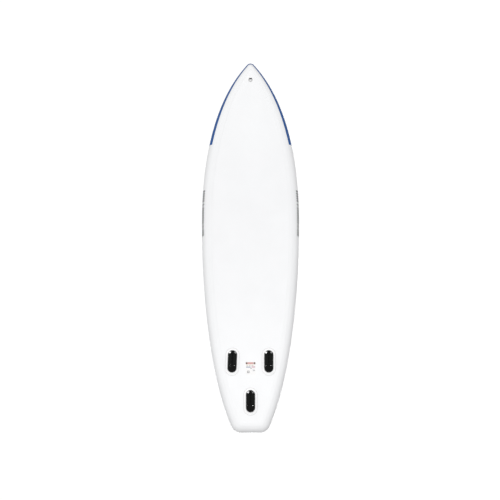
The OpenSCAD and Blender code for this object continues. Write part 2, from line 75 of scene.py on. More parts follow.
rail_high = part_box("rail_band_port")[1]
HALF_LENGTH = rail_high.x
HALF_WIDTH = rail_high.y
HULL_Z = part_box("hull_skin")[0].z
THICKNESS = 0.150
MID_Z = HULL_Z + THICKNESS / 2
DECK_Z = HULL_Z + THICKNESS
SKIN_T = 0.0012
BAND_T = 0.0016
TAPE_T = 0.0008
TAPE_W = 0.018

# The outline goes from a straight tail end round a corner, along two curves that meet at the
# widest point, and round the nose. A reach is how far a curve's end holds its direction.
NOSE_R = 0.038
NOSE_ANGLE = radians(43)
NOSE_LIFT = 0.140
NOSE_ROCKER = 0.900
TAIL_R = 0.095
TAIL_HALF = 0.080
TAIL_SLOPE = math.tan(radians(2.5))
TAIL_PLANE = 0.400
TAIL_BEND = 0.100
REAR_ANGLE = radians(23)
WIDEST_X = 0.125
REAR_REACH = (0.587, 0.241)
FRONT_REACH = (0.138, 0.625)
RAIL_DEPTH = 0.072
RAIL_DEPTH_NOSE = 0.030
RAIL_FADE = 0.700
FLAT_STEPS = 5
CORNER_STEPS = 17
# From this point on the outline runs steadily towards the nose
AHEAD = FLAT_STEPS + CORNER_STEPS + 2
# How far a part reaches into what it is fixed to
SINK = 0.0001


def rocker(x):
    """Height of the hull over its flat middle."""
    x = np.asarray(x, float)
    from_tail = x + HALF_LENGTH
    nose = NOSE_LIFT * np.clip(1 - (HALF_LENGTH - x) / NOSE_ROCKER, 0, None) ** 2
    plane = TAIL_SLOPE * (TAIL_PLANE - from_tail + TAIL_BEND / 2)
    bend = TAIL_SLOPE * np.clip(TAIL_PLANE + TAIL_BEND - from_tail, 0, None) ** 2 / (2 * TAIL_BEND)
    return nose + np.where(from_tail < TAIL_PLANE, plane, bend)


def slope(x):
    """Slope of the hull along the board."""
    step = 0.0005
    return float(rocker(x + step) - rocker(x - step)) / (2 * step)


def unit(ways):
    return ways / np.linalg.norm(ways, axis=1)[:, None]


def bezier(p, t):
    """Points of a cubic curve, and their normals."""
    t = np.asarray(t, float)[:, None]
    p = np.array(p)
    at = (1 - t) ** 3 * p[0] + 3 * (1 - t) ** 2 * t * p[1] + 3 * (1 - t) * t**2 * p[2] + t**3 * p[3]
    way = (1 - t) ** 2 * (p[1] - p[0]) + 2 * (1 - t) * t * (p[2] - p[1]) + t**2 * (p[3] - p[2])
    way = unit(way)
    return at, np.stack([-way[:, 1], way[:, 0]], axis=1)


def arc(centre, r, start, end, steps):
    """Points of an arc, and their normals."""
    a = np.linspace(start, end, steps)
    n = np.stack([np.cos(a), np.sin(a)], axis=1)
    return np.array(centre) + r * n, n


def outline():
    """Points and outward normals of the port half of the outline, from the tail to the nose tip."""
    tail_c = np.array([TAIL_R - HALF_LENGTH, TAIL_HALF])
    nose_c = np.array([HALF_LENGTH - NOSE_R, 0.0])
    tail_end = tail_c + TAIL_R * np.array([-sin(REAR_ANGLE), cos(REAR_ANGLE)])
    nose_start = nose_c + NOSE_R * np.array([sin(NOSE_ANGLE), cos(NOSE_ANGLE)])
    widest = np.array([WIDEST_X, HALF_WIDTH])
    rear_way = np.array([cos(REAR_ANGLE), sin(REAR_ANGLE)])
    nose_way = np.array([cos(NOSE_ANGLE), -sin(NOSE_ANGLE)])
    rear = [tail_end, tail_end + REAR_REACH[0] * rear_way, widest - [REAR_REACH[1], 0], widest]
    front = [widest, widest + [FRONT_REACH[0], 0], nose_start - FRONT_REACH[1] * nose_way, nose_start]
    flat = [(-HALF_LENGTH, y) for y in np.linspace(0, TAIL_HALF, FLAT_STEPS, endpoint=False)]
    runs = [
        (np.array(flat), np.tile([-1.0, 0.0], (FLAT_STEPS, 1))),
        arc(tail_c, TAIL_R, pi, pi / 2 + REAR_ANGLE, CORNER_STEPS),
        bezier(rear, np.linspace(0, 1, 61)[1:]),
        bezier(front, 1 - (1 - np.linspace(0, 1, 81)[1:]) ** 1.3),
        arc(nose_c, NOSE_R, pi / 2 - NOSE_ANGLE, 0, 11),
    ]
    runs[-1] = tuple(part[1:] for part in runs[-1])
    points, normals = (np.concatenate(part) for part in zip(*runs))
    points[-1, 1] = 0
    return points, normals


POINTS, NORMALS = outline()


def rail_depth(x):
    share = np.clip((HALF_LENGTH - x) / RAIL_FADE, 0, 1)
    return RAIL_DEPTH_NOSE + (RAIL_DEPTH - RAIL_DEPTH_NOSE) * np.sin(pi / 2 * share)


DEPTHS = rail_depth(POINTS[:, 0])
INSET = POINTS - DEPTHS[:, None] * NORMALS


def at_x(x):
    """Point, normal and rail depth of the port outline beside x, ahead of the tail corner."""
    x = np.asarray(x, float)
    parts = (POINTS[AHEAD:, 1], NORMALS[AHEAD:, 0], NORMALS[AHEAD:, 1])
    y, *normal = (np.interp(x, POINTS[AHEAD:, 0], part) for part in parts)
    return np.stack([x, y], -1), np.stack(normal, -1), rail_depth(x)


def rail_points(points, normals, depths, angle, grow):
    """Points on the rail at an angle from the middle of its height, grown outwards."""
    across = (depths + grow) * np.cos(angle)
    flat = points + (across - depths)[..., None] * normals
    z = MID_Z + rocker(flat[..., 0]) + (THICKNESS / 2 + grow) * np.sin(angle)
    return np.concatenate([flat, z[..., None]], axis=-1)


def rail_grid(angles, grow, keep=slice(None)):
    """Rows along the outline, columns over the angles. grow may differ from column to column."""
    grow = np.broadcast_to(grow, np.shape(angles))
    return np.stack(
        [rail_points(POINTS[keep], NORMALS[keep], DEPTHS[keep], a, g) for a, g in zip(angles, grow)],
        axis=1,
    )


def half_width(x):
    """Half the width of the flat between the rails."""
    return np.interp(x, INSET[AHEAD:, 0], INSET[AHEAD:, 1])


# ---- Local frames of the fittings ----


def on_deck(x, y=0.0, turn=0.0):
    base = Matrix.Translation((x, y, DECK_Z + float(rocker(x))))
    return base @ Matrix.Rotation(-math.atan(slope(x)), 4, "Y") @ Matrix.Rotation(turn, 4, "Z")


def on_hull(x, y=0.0, toe=0.0):
    """+z points out of the hull and +x to the nose. A turn of half a circle points +x to the tail."""
    base = Matrix.Translation((x, y, HULL_Z + float(rocker(x))))
    tilt = Matrix.Rotation(-math.atan(slope(x)), 4, "Y") @ Matrix.Rotation(toe, 4, "Z")
    return base @ tilt @ Matrix.Rotation(pi, 4, "X")


def placed(matrix, points):
    m = np.array(matrix)
    p = np.asarray(points, float)
    return p @ m[:3, :3].T + m[:3, 3]


# ---- Mesh tools ----

TUBE_SIDE = (0.31, 0.17, 0.93)


def circle(steps):
    """Angles round a circle."""
    return np.linspace(0, 2 * pi, steps, endpoint=False)


def both_sides(half):
    """A closed section from its port half, whose first point is the lowest."""
    return [(-half[0][0], half[0][1])] + half + [(-y, z) for y, z in half[:0:-1]]


def in_scene(name, data):
    """A new object in the scene."""
    o = bpy.data.objects.new(name, data)
    bpy.context.scene.collection.objects.link(o)
    return o


class Mesh:
    """Closed parts of one piece, with a material number and a UV in metres for each face."""

    def __init__(self):
        self.points = []
        self.faces = []
        self.slots = []
        self.uvs = []

    def add(self, points, faces, uvs, slot=0):
        start = len(self.points)
        self.points.extend(map(tuple, np.asarray(points, float)))
        self.faces.extend([start + i for i in f] for f in faces)
        self.slots.extend([slot] * len(faces))
        self.uvs.extend(uvs)

    def loft(self, loops, slot=0, strip=False, ring=False):
        """Skins closed loops, an array of rows by points by three. strip closes a thin shell's ends."""
        loops = np.asarray(loops, float)
        m, k = loops.shape[:2]
        along = np.linalg.norm(np.diff(loops, axis=0), axis=2).mean(axis=1)
        u = np.concatenate([[0], np.cumsum(along), [0]])
        around = np.linalg.norm(np.diff(np.concatenate([loops, loops[:, :1]], axis=1), axis=1), axis=2)
        v = np.concatenate([[0], np.cumsum(around.max(axis=0))])
        u[m] = u[m - 1] + along.mean()
        faces, uvs = [], []
        for i in range(m if ring else m - 1):
            n = (i + 1) % m
            for j in range(k):
                faces.append([i * k + j, i * k + (j + 1) % k, n * k + (j + 1) % k, n * k + j])
                uvs.append([(u[i], v[j]), (u[i], v[j + 1]), (u[i + 1], v[j + 1]), (u[i + 1], v[j])])
        for i in () if ring else (0, m - 1):
            row = [i * k + j for j in range(k)]
            if strip:
                for j in range(k // 2 - 1):
                    faces.append([row[j], row[j + 1], row[k - 2 - j], row[k - 1 - j]])
                    uvs.append([(0, v[j]), (0, v[j + 1]), (TAPE_T, v[j + 1]), (TAPE_T, v[j])])
            else:
                faces.append(row[::-1] if i == 0 else row)
                uvs.append([(0.0, v[j]) for j in range(k)])
        self.add(loops.reshape(-1, 3), faces, uvs, slot)

    def shell(self, outer, inner):
        """A thin sheet between two grids of points."""
        self.loft(np.concatenate([outer, inner[:, ::-1]], axis=1), strip=True)

    def lathe(self, profile, matrix, steps, wave=None):
        """Turns a closed profile of radius and height round z. wave may change a point's radius."""
        rows = []
        for t in circle(steps):
            r = [p[0] if wave is None else wave(p[0], p[1], t) for p in profile]
            rows.append([(q * cos(t), q * sin(t), p[1]) for q, p in zip(r, profile)])
        self.loft(placed(matrix, rows), ring=True)

    def plate(self, shape, matrix, thickness, edge, slot=0, sink=0.0):
        """A flat plate with a rounded upper edge. shape gives its outline, drawn in by a distance."""
        rings = [(0.0, -sink), (0.0, thickness - edge)]
        for a in (0.5, 1.05, pi / 2):
            rings.append((edge * (1 - cos(a)), thickness - edge * (1 - sin(a))))
        loops = [[(x, y, z) for x, y in shape(inset)] for inset, z in rings]
        self.loft(placed(matrix, loops), slot)

    def tube(self, path, r, sides, slot=0, closed=False):
        """A round rod along a path of points, which doesn't start along TUBE_SIDE."""
        path = np.asarray(path, float)
        way = np.roll(path, -1, 0) - np.roll(path, 1, 0) if closed else np.gradient(path, axis=0)
        way = unit(way)
        side = np.cross(way[0], TUBE_SIDE)
        a = circle(sides)[:, None]
        loops = []
        for p, w in zip(path, way):
            side = side - w * side.dot(w)
            side /= np.linalg.norm(side)
            loops.append(p + r * (np.cos(a) * side + np.sin(a) * np.cross(w, side)))
        self.loft(loops, slot, ring=closed)

    def piece(self, name, materials, node, slot="pvc_white", body="board", sharp=40):
        """Makes the object. It stands in for a CAD node, where one is given, and rides on a body."""
        data = bpy.data.meshes.new(name)
        data.from_pydata(self.points, [], self.faces)
        layer = data.uv_layers.new(name="UVMap")
        layer.data.foreach_set("uv", [c for face in self.uvs for corner in face for c in corner])
        data.polygons.foreach_set("material_index", self.slots)
        for m in materials:
            data.materials.append(m)
        work = bmesh.new()
        work.from_mesh(data)
        bmesh.ops.recalc_face_normals(work, faces=work.faces)
        bmesh.ops.dissolve_degenerate(work, dist=1e-7, edges=work.edges)
        work.to_mesh(data)
        work.free()
        data.validate()
        data.shade_smooth()
        data.set_sharp_from_angle(angle=radians(sharp))
        o = in_scene(name, data)
        if node:
            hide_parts(node)
        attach(o, body)
        return o


def stadium(length, width, steps):
    """Outline of a stadium along x, as a function of the distance it is drawn in."""

    def shape(inset):
        r = width / 2 - inset
        half = (length - width) / 2
        a = np.linspace(-pi / 2, pi / 2, steps)
        right = [(half + r * cos(t), r * sin(t)) for t in a]
        return right + [(-x, -y) for x, y in right]

    return shape


def rounded(length, width, corner, steps=6):
    """Outline of a rectangle with rounded corners."""

    def shape(inset):
        r = max(corner - inset, 1e-5)
        hx, hy = length / 2 - inset - r, width / 2 - inset - r
        points = []
        for q, (sx, sy) in enumerate(((1, -1), (1, 1), (-1, 1), (-1, -1))):
            for t in np.linspace(q - 1, q, steps) * pi / 2:
                points.append((sx * hx + r * cos(t), sy * hy + r * sin(t)))
        return points

    return shape


def disc(r, steps=64):
    a = circle(steps)
    return lambda inset: [((r - inset) * cos(t), (r - inset) * sin(t)) for t in a]


# ---- Materials ----


# A noise's factor seldom leaves this range
NOISE_RANGE = (0.3, 0.7)
# Length of a wave texture's ridge at a scale of 1
WAVE_STEP = 0.314159
# Pitches of the fabric's weave, of the dimples its threads pull, and of the webbing's ribs
WEAVE = 0.0011
DIMPLES = 0.0046
RIB = 0.0017


class Tree:
    """A shader tree, with short calls for the nodes that repeat."""

    def __init__(self, tree):
        self.tree = tree

    def node(self, kind, **inputs):
        n = self.tree.nodes.new("ShaderNode" + kind)
        for key, value in inputs.items():
            self.put(n.inputs[key.replace("_", " ")], value)
        return n

    def put(self, socket, value):
        if isinstance(value, bpy.types.NodeSocket):
            self.tree.links.new(value, socket)
        else:
            socket.default_value = value

    def math(self, operation, a, b):
        n = self.node("Math")
        n.operation = operation
        self.put(n.inputs[0], a)
        self.put(n.inputs[1], b)
        return n.outputs[0]

    def total(self, a, share_a, b, share_b):
        """Two factors added up by their shares."""
        return self.math("ADD", self.math("MULTIPLY", a, share_a), self.math("MULTIPLY", b, share_b))

    def shades(self, factor, *stops):
        """Mixes colours over a factor. A stop is a place and a colour."""
        n = self.node("ValToRGB", Fac=factor)
        ramp = n.color_ramp
        while len(ramp.elements) < len(stops):
            ramp.elements.new(0.5)
        for e, (place, colour) in zip(ramp.elements, stops):
            e.position = place
            e.color = (*colour, 1.0)
        return n.outputs["Color"]

    def mix(self, output, *parts):
        """Gives an output node a mix by a factor of two shaders."""
        n = self.node("MixShader")
        for socket, part in zip(n.inputs, parts):
            self.put(socket, part)
        self.put(self.tree.nodes[output].inputs["Surface"], n.outputs[0])


class Nodes(Tree):
    """A material's tree, round its principled shader."""

    def __init__(self, name, colour, rough, kind="Object", **sockets):
        self.material = bpy.data.materials.new(name)
        self.material.use_nodes = True
        super().__init__(self.material.node_tree)
        self.shader = self.tree.nodes["Principled BSDF"]
        self.colour = np.array(colour)
        self.rough = rough
        self.normal = None
        self.where = self.at(kind)
        self.shader.inputs["Base Color"].default_value = (*colour, 1.0)
        self.shader.inputs["Roughness"].default_value = rough
        for key, value in sockets.items():
            self.shader.inputs[key.replace("_", " ")].default_value = value

    def at(self, kind, scale=(1, 1, 1)):
        """Coordinates of the piece in metres, times a scale."""
        coords = self.node("TexCoord").outputs[kind]
        return self.node("Mapping", Vector=coords, Scale=scale).outputs["Vector"]

    def noise(self, scale, detail=3.0, roughness=0.55, where=None):
        where = self.where if where is None else where
        n = self.node("TexNoise", Vector=where, Scale=scale, Detail=detail, Roughness=roughness)
        return n.outputs["Fac"]

    def waves(self, axis, pitch):
        """Ridges from 0 to 1 along one axis, at a pitch in metres."""
        n = self.node("TexWave", Vector=self.where, Scale=WAVE_STEP / pitch)
        n.wave_type = "BANDS"
        n.bands_direction = axis
        return n.outputs["Fac"]

    def lattice(self, pitch, pitch_y=None):
        """Ridges along both axes."""
        return self.math("MULTIPLY", self.waves("X", pitch), self.waves("Y", pitch_y or pitch))

    def tint(self, factor, low, high):
        """Colour that runs from low to high times the base colour over NOISE_RANGE of a factor."""
        ends = [np.clip(self.colour * level, 0, 1) for level in (low, high)]
        self.put(self.shader.inputs["Base Color"], self.shades(factor, *zip(NOISE_RANGE, ends)))

    def roughen(self, factor, spread):
        """Roughness that varies by spread round its value over NOISE_RANGE of a factor."""
        n = self.node("MapRange", Value=factor, From_Min=NOISE_RANGE[0], From_Max=NOISE_RANGE[1],
                      To_Min=self.rough - spread, To_Max=self.rough + spread)
        self.put(self.shader.inputs["Roughness"], n.outputs["Result"])

    def bump(self, height, distance, strength=1.0):
        """Adds a bump, whose height is in metres for a factor of one."""
        n = self.node("Bump", Height=height, Strength=strength, Distance=distance)
        if self.normal is not None:
            self.put(n.inputs["Normal"], self.normal)
        self.normal = n.outputs["Normal"]
        self.put(self.shader.inputs["Normal"], self.normal)


def coated(name, colour, rough=0.42, dirt=0.03):
    """PVC-coated fabric: the weave shows faintly through the coat, which is a little uneven."""
    n = Nodes(name, colour, rough, "UV", Specular_IOR_Level=0.35)
    fine = n.noise(900.0, 2.0)
    n.tint(n.total(n.noise(5.0, 4.0), 0.8, fine, 0.2), 1 - dirt, 1.0)
    n.roughen(n.noise(60.0), 0.05)
    n.bump(n.noise(14.0, 2.0), 0.0009, 0.25)
    n.bump(n.total(n.lattice(WEAVE), 1.0, fine, 0.5), 0.00003)
    return n.material


def drop_stitch(name, colour):
    """The flat panels, where the rows of threads pull fine dimples into the coated fabric."""
    n = Nodes(name, colour, 0.42, "UV", Specular_IOR_Level=0.35)
    n.tint(n.noise(4.0, 4.0), 0.975, 1.0)
    n.roughen(n.noise(50.0), 0.05)
    n.bump(n.noise(9.0, 2.0), 0.0011, 0.25)
    n.bump(n.lattice(DIMPLES), 0.00005)
    n.bump(n.lattice(WEAVE), 0.00002)
    return n.material


def moulded(name, colour, rough, wear=1.5, gloss=0.5):
    """Moulded nylon with a spark-eroded grain and rubbed patches."""
    n = Nodes(name, colour, rough, Specular_IOR_Level=gloss)
    n.tint(n.noise(45.0, 5.0), 1.0, wear)
    n.roughen(n.noise(120.0, 4.0), 0.08)
    n.bump(n.noise(700.0, 3.0, 0.7), 0.00012, 0.6)
    return n.material


def metal(name, colour, rough):
    """Drawn stainless wire, polished, with fine scratches."""
    n = Nodes(name, colour, rough, Metallic=1.0)
    n.tint(n.noise(60.0), 0.9, 1.05)
    n.roughen(n.noise(400.0, 4.0, where=n.at("Object", (1, 1, 6))), 0.09)
    n.bump(n.noise(900.0, where=n.at("Object", (1, 5, 1))), 0.00003, 0.5)
    return n.material


def rubber(name, colour):
    """Moulded rubber with a dusty bloom."""
    n = Nodes(name, colour, 0.62, Specular_IOR_Level=0.4)
    n.tint(n.noise(90.0, 4.0), 0.85, 1.6)
    n.roughen(n.noise(200.0), 0.08)
    n.bump(n.noise(1200.0, 2.0), 0.00008, 0.6)
    return n.material


def foam(name, colour):
    """EVA foam: fine closed cells and a brushed skin."""
    n = Nodes(name, colour, 0.85, Specular_IOR_Level=0.25)
    cells = n.node("TexVoronoi", Vector=n.where, Scale=1400.0).outputs["Distance"]
    n.tint(n.total(n.noise(22.0, 5.0), 0.7, cells, 0.4), 0.86, 1.12)
    n.roughen(n.noise(70.0), 0.07)
    n.bump(cells, 0.00022, 0.7)
    n.bump(n.noise(260.0), 0.0002, 0.4)
    return n.material


def woven(name, colour):
    """Nylon webbing: ribs along the band and picks across it."""
    n = Nodes(name, colour, 0.7, "UV", Sheen_Weight=0.35, Sheen_Roughness=0.45)
    cloth = n.total(n.waves("Y", RIB), 0.6, n.waves("X", RIB * 0.62), 0.4)
    fuzz = n.noise(1500.0)
    n.tint(n.total(cloth, 0.6, fuzz, 0.3), 0.6, 1.9)
    n.roughen(fuzz, 0.08)
    n.bump(cloth, 0.00035)
    n.bump(fuzz, 0.0001, 0.6)
    return n.material


def knit(name, colour):
    """Neoprene with a fine knitted face."""
    n = Nodes(name, colour, 0.82, "UV", Sheen_Weight=0.45, Sheen_Roughness=0.4)
    loops = n.lattice(0.0009, 0.0006)
    fuzz = n.noise(1300.0)
    n.tint(n.total(loops, 0.4, fuzz, 0.5), 0.7, 1.6)
    n.roughen(fuzz, 0.06)
    n.bump(loops, 0.00015)
    n.bump(n.noise(120.0, 2.0), 0.0006, 0.4)
    return n.material


def thread(name, colour):
    """Twisted sewing thread."""
    n = Nodes(name, colour, 0.6, Sheen_Weight=0.3)
    n.tint(n.noise(700.0), 0.75, 1.15)
    n.roughen(n.noise(900.0, 2.0), 0.08)
    n.bump(n.waves("DIAGONAL", 0.0005), 0.0001)
    return n.material


def printed(name, colour):
    """Ink on film: a faint mottle and tiny pits."""
    n = Nodes(name, colour, 0.35, Specular_IOR_Level=0.45)
    n.tint(n.noise(260.0, 5.0), 0.9, 1.06)
    n.roughen(n.noise(300.0), 0.06)
    n.bump(n.noise(900.0), 0.00004, 0.5)
    return n.material


pvc_panel = drop_stitch("pvc_panel", (0.93, 0.935, 0.945))
pvc_rail = coated("pvc_rail", (0.925, 0.93, 0.94))
pvc_tape = coated("pvc_tape", (0.915, 0.92, 0.93), 0.40)
# The patches are whiter than the hull's fabric: the extra white is painted light that lifts the shade round
# the fin boxes
pvc_patch = coated("pvc_patch", (0.965, 0.965, 0.97), 0.40)
pvc_blue = coated("pvc_blue", (0.017, 0.100, 0.34), 0.36, dirt=0.12)
pvc_mark = coated("pvc_mark", (0.045, 0.047, 0.052), 0.45, dirt=0.2)
# Mid grey for the thin band round each fin patch: partly glue, and partly a painted shadow line along the
# patch's edge
glue_and_shadow_line = coated("glue_and_shadow_line", (0.50, 0.50, 0.49), 0.5, dirt=0.2)
nylon = moulded("nylon_black", (0.0012, 0.0014, 0.0013), 0.24, gloss=0.06)
nylon_latch = moulded("nylon_latch", (0.0022, 0.0024, 0.0023), 0.30, gloss=0.07)
nylon_grey = moulded("nylon_grey", (0.085, 0.09, 0.095), 0.40, wear=1.2)
nylon_orange = moulded("nylon_orange", (0.72, 0.22, 0.03), 0.38, wear=1.1)
steel = metal("stainless", (0.40, 0.405, 0.41), 0.22)
spring_steel = metal("spring_steel", (0.58, 0.58, 0.57), 0.28)
soft_rubber = rubber("soft_rubber", (0.018, 0.018, 0.019))
eva_blue = foam("eva_blue", (0.055, 0.17, 0.36))
eva_grey = foam("eva_grey", (0.30, 0.315, 0.33))
eva_dark = foam("eva_dark", (0.035, 0.10, 0.22))
webbing = woven("webbing", (0.018, 0.018, 0.020))
neoprene = knit("neoprene", (0.030, 0.032, 0.035))
black_thread = thread("black_thread", (0.03, 0.03, 0.03))
pale_thread = thread("pale_thread", (0.80, 0.79, 0.76))
label_film = printed("label_film", (0.93, 0.92, 0.915))
inks = {
    "red": (0.66, 0.37, 0.35),
    "black": (0.05, 0.045, 0.04),
    "brown": (0.16, 0.085, 0.065),
    "cream": (0.80, 0.74, 0.58),
    "blue": (0.40, 0.43, 0.53),
    "pink": (0.73, 0.58, 0.62),
    "grey": (0.28, 0.28, 0.29),
    "pale": (0.70, 0.71, 0.74),
}
INKS = {name: printed("ink_" + name, colour) for name, colour in inks.items()}


# ---- Shell: two drop-stitch panels, the rail bands and the seam tapes ----

PANEL_COLUMNS = 25
# The outline's first rows lie along the straight tail end, so a panel starts at its corner
PANEL_START = 4


def panel_grid(z, side):
    rows = INSET[INSET[:, 1] > 0.0008][PANEL_START:]
    spread = np.linspace(-side, side, PANEL_COLUMNS)
    x = np.repeat(rows[:, :1], PANEL_COLUMNS, axis=1)
    return np.stack([x, rows[:, 1:] * spread, z + rocker(x)], axis=-1)


def panel(name, node, z, side):
    """A flat panel. side is 1 for the hull, which faces down, and -1 for the deck."""
    mesh = Mesh()
    mesh.shell(panel_grid(z, side), panel_grid(z + side * SKIN_T, side))
    return mesh.piece(name, [pvc_panel], node)


RAIL_ANGLES = np.radians(np.linspace(-90, 90, 31))


def mirrored(grid, side):
    return grid * np.array([1, side, 1])


def rail_sheets(name, node, material, outer, inner):
    """A thin sheet on the port rail, and its mirror image to starboard."""
    for side_name, side in SIDES.items():
        mesh = Mesh()
        mesh.shell(mirrored(outer, side), mirrored(inner, side))
        mesh.piece(f"{name}_{side_name}", [material], f"{node}_{side_name}")


def rails():
    rail_sheets("rail", "rail_band", pvc_rail, rail_grid(RAIL_ANGLES, 0.0), rail_grid(RAIL_ANGLES, -BAND_T))


TAPE_ANGLES = np.radians([90, 84, 78, 75.8, 75])
TAPE_EDGE = 0.0012
JOINT_ANGLES = np.radians(np.linspace(-60, 60, 17))
JOINT_HALF = 0.035
JOINT_ROWS = 9


def tape_grid(side_z, grows):
    """The seam tape's columns: from its edge on the flat, over the joint, and down the rail."""
    columns = []
    reach = np.where(NORMALS[:, 1] > 1e-6, INSET[:, 1] / np.maximum(NORMALS[:, 1], 1e-6), 1.0)
    for w, g in zip((TAPE_W, TAPE_W - TAPE_EDGE, TAPE_W / 2), grows):
        q = INSET - np.minimum(w, reach)[:, None] * NORMALS
        z = MID_Z + rocker(q[:, 0]) + side_z * (THICKNESS / 2 + g)
        columns.append(np.stack([q[:, 0], np.maximum(q[:, 1], 0), z], axis=1))
    for a, g in zip(TAPE_ANGLES, grows[3:]):
        columns.append(rail_points(POINTS, NORMALS, DEPTHS, side_z * a, g))
    return np.stack(columns, axis=1)


def tapes():
    edge = 0.25 * TAPE_T
    over = [edge] + [TAPE_T] * 6 + [edge]
    for face, side_z in (("hull", -1), ("deck", 1)):
        outer, inner = tape_grid(side_z, over), tape_grid(side_z, [-SINK] * 8)
        rail_sheets(f"{face}_seam", f"{face}_tape", pvc_tape, outer, inner)


def both_rails(port):
    """A grid that goes from the port rail round the nose onto the starboard one."""
    return np.concatenate([port, mirrored(port[-2::-1], -1)])


def joint_patches():
    """The strip outside the tail over the joint of the rail bands, and the one inside the nose."""
    ends = np.array([(-HALF_LENGTH, y) for y in np.linspace(-JOINT_HALF, JOINT_HALF, JOINT_ROWS)])
    ways = np.tile([-1.0, 0.0], (JOINT_ROWS, 1))
    depths = rail_depth(ends[:, 0])
    thick = np.full(len(JOINT_ANGLES), TAPE_T)
    thick[[0, -1]] = 0.25 * TAPE_T
    grids = []
    for grows in (thick, np.full(len(thick), -SINK)):
        columns = [rail_points(ends, ways, depths, -a, g) for a, g in zip(JOINT_ANGLES, grows)]
        grids.append(np.stack(columns, axis=1))
    tail = Mesh()
    tail.shell(*grids)
    tail.piece("tail_joint_strip", [pvc_tape], "tail_joint_patch")
    nose = Mesh()
    port = slice(-24, None)
    nose.shell(*(both_rails(rail_grid(JOINT_ANGLES, -grow, port)) for grow in (BAND_T, BAND_T + TAPE_T)))
    nose.piece("nose_joint_strip", [pvc_rail], "nose_joint_patch")


# ---- Print on the rails ----

STRIPE_ANGLES = np.radians(np.linspace(-46, 46, 15))
STRIPE_T = 0.0004
STRIPE_ENDS = (0.702, 0.731)


def nose_stripe():
    """The blue band round the nose, with a slanted end on each rail."""
    ends = HALF_LENGTH - np.linspace(*STRIPE_ENDS, len(STRIPE_ANGLES))
    keep = POINTS[:, 0] > HALF_LENGTH - STRIPE_ENDS[0] + 0.004

    def grid(grow):
        first = np.stack([rail_points(*at_x(x), a, grow) for x, a in zip(ends, STRIPE_ANGLES)])
        return both_rails(np.concatenate([first[None], rail_grid(STRIPE_ANGLES, grow, keep)]))

    stripe = Mesh()
    stripe.shell(grid(STRIPE_T), grid(-SINK))
    stripe.piece("nose_band", [pvc_blue], "nose_stripe", "stripe_blue")


MARK_ANGLES = np.radians(np.linspace(-40, 40, 13))
MARK_T = 0.00025
MARK_START = 1.10
MARK_PITCH = 0.021
MARK_W = 0.0125
MARK_SLANT = 0.030
MARK_GROUPS = (5, 1, 7, 1, 3)


def mark_grid(from_nose, side, grow):
    """One slanted bar on a rail."""
    rows = []
    for edge in (0.0, MARK_W / 2, MARK_W):
        x = HALF_LENGTH - from_nose - edge - np.linspace(0, MARK_SLANT, len(MARK_ANGLES))
        rows.append([rail_points(*at_x(t), a, grow) for t, a in zip(x, MARK_ANGLES)])
    return mirrored(np.array(rows), side)


def rail_marks():
    """Groups of slanted bars along each rail, in place of lettering."""
    for name, side in SIDES.items():
        marks = Mesh()
        from_nose = MARK_START
        for count in MARK_GROUPS:
            for _ in range(count):
                marks.shell(mark_grid(from_nose, side, MARK_T), mark_grid(from_nose, side, -SINK))
                from_nose += MARK_PITCH
            from_nose += MARK_PITCH / 2
        marks.piece(f"rail_marks_{name}", [pvc_mark], None, "webbing")


# ---- Hull fittings ----

FIN_BOXES = {
    "port": on_hull(-0.981, 0.158),
    "starboard": on_hull(-0.981, -0.158, radians(2.5)),
    "centre": on_hull(-1.326),
}
PATCH_T = 0.0012
PATCH_EDGE = 0.0005
FIN_PATCH = (0.236, 0.116)
PATCH_SHIFT = -0.003
# Width of the grey band round each fin patch, which paints the shade at the patch's edge as well as showing
# glue
GLUE_AND_SHADOW_W = 0.0018
LATCH_SPRING_AT = (-0.064, 0, PATCH_T + 0.004)


def coat(node, material):
    """Gives a CAD node its material."""
    data = frame["nodes"][node].data
    data.materials.clear()
    data.materials.append(material)


def soften(node, width, material):
    """Rounds the edges of a CAD node and gives it its material."""
    coat(node, material)
    o = frame["nodes"][node]
    flat = o.modifiers.new("flat", "DECIMATE")
    flat.decimate_type = "DISSOLVE"
    flat.angle_limit = radians(1.5)
    bevel = o.modifiers.new("edges", "BEVEL")
    bevel.width = width
    bevel.segments = 2
    bevel.limit_method = "ANGLE"
    bevel.angle_limit = radians(28)
    bevel.miter_outer = "MITER_ARC"
    bevel.harden_normals = True


def spring(name, matrix, r, height, turns, body="board"):
    """A coil on a fitting, in place of its spring node."""
    wire = 0.0006
    t = np.linspace(0, turns * 2 * pi, 20 * turns + 1)
    z = wire + (height - 2 * wire) * t / t[-1]
    mesh = Mesh()
    mesh.tube(placed(matrix, np.stack([r * np.cos(t), r * np.sin(t), z], axis=1)), wire, sides=8)
    o = mesh.piece(name + "_coil", [spring_steel], name, "steel", body)
    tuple(matrix.translation)
    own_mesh(o)


def fin_boxes():
    lap, rim = 0.0004, 0.00005
    # A flat grey band just outside the patch's edge: painted shade along the edge, and a little glue
    glue_and_shadow_bead = [(lap, -SINK), (-GLUE_AND_SHADOW_W, -SINK), (-GLUE_AND_SHADOW_W, rim), (-lap, lap), (lap, lap)]
    edge = stadium(*FIN_PATCH, 28)
    for name, matrix in FIN_BOXES.items():
        patch = Mesh()
        seat = matrix @ Matrix.Translation((PATCH_SHIFT, 0, 0))
        patch.plate(edge, seat, PATCH_T, PATCH_EDGE, sink=SINK)
        loops = [[(x, y, z) for x, y in edge(inset)] for inset, z in glue_and_shadow_bead]
        patch.loft(placed(seat, loops), 1, ring=True)
        patch.piece(f"fin_patch_{name}_welded", [pvc_patch, glue_and_shadow_line], f"fin_patch_{name}")
        soften(f"fin_base_{name}", 0.0007, nylon)
        soften(f"fin_latch_{name}", 0.0005, nylon_latch)
        coat(f"fin_pin_{name}", steel)
        base = matrix @ Matrix.Translation(LATCH_SPRING_AT)
        spring(f"fin_spring_{name}", base, 0.0046, 0.007, 4)


LABEL = (0.110, 0.085)
LABEL_X = -1.040
FILM_T = 0.0003
INK_T = 0.0001
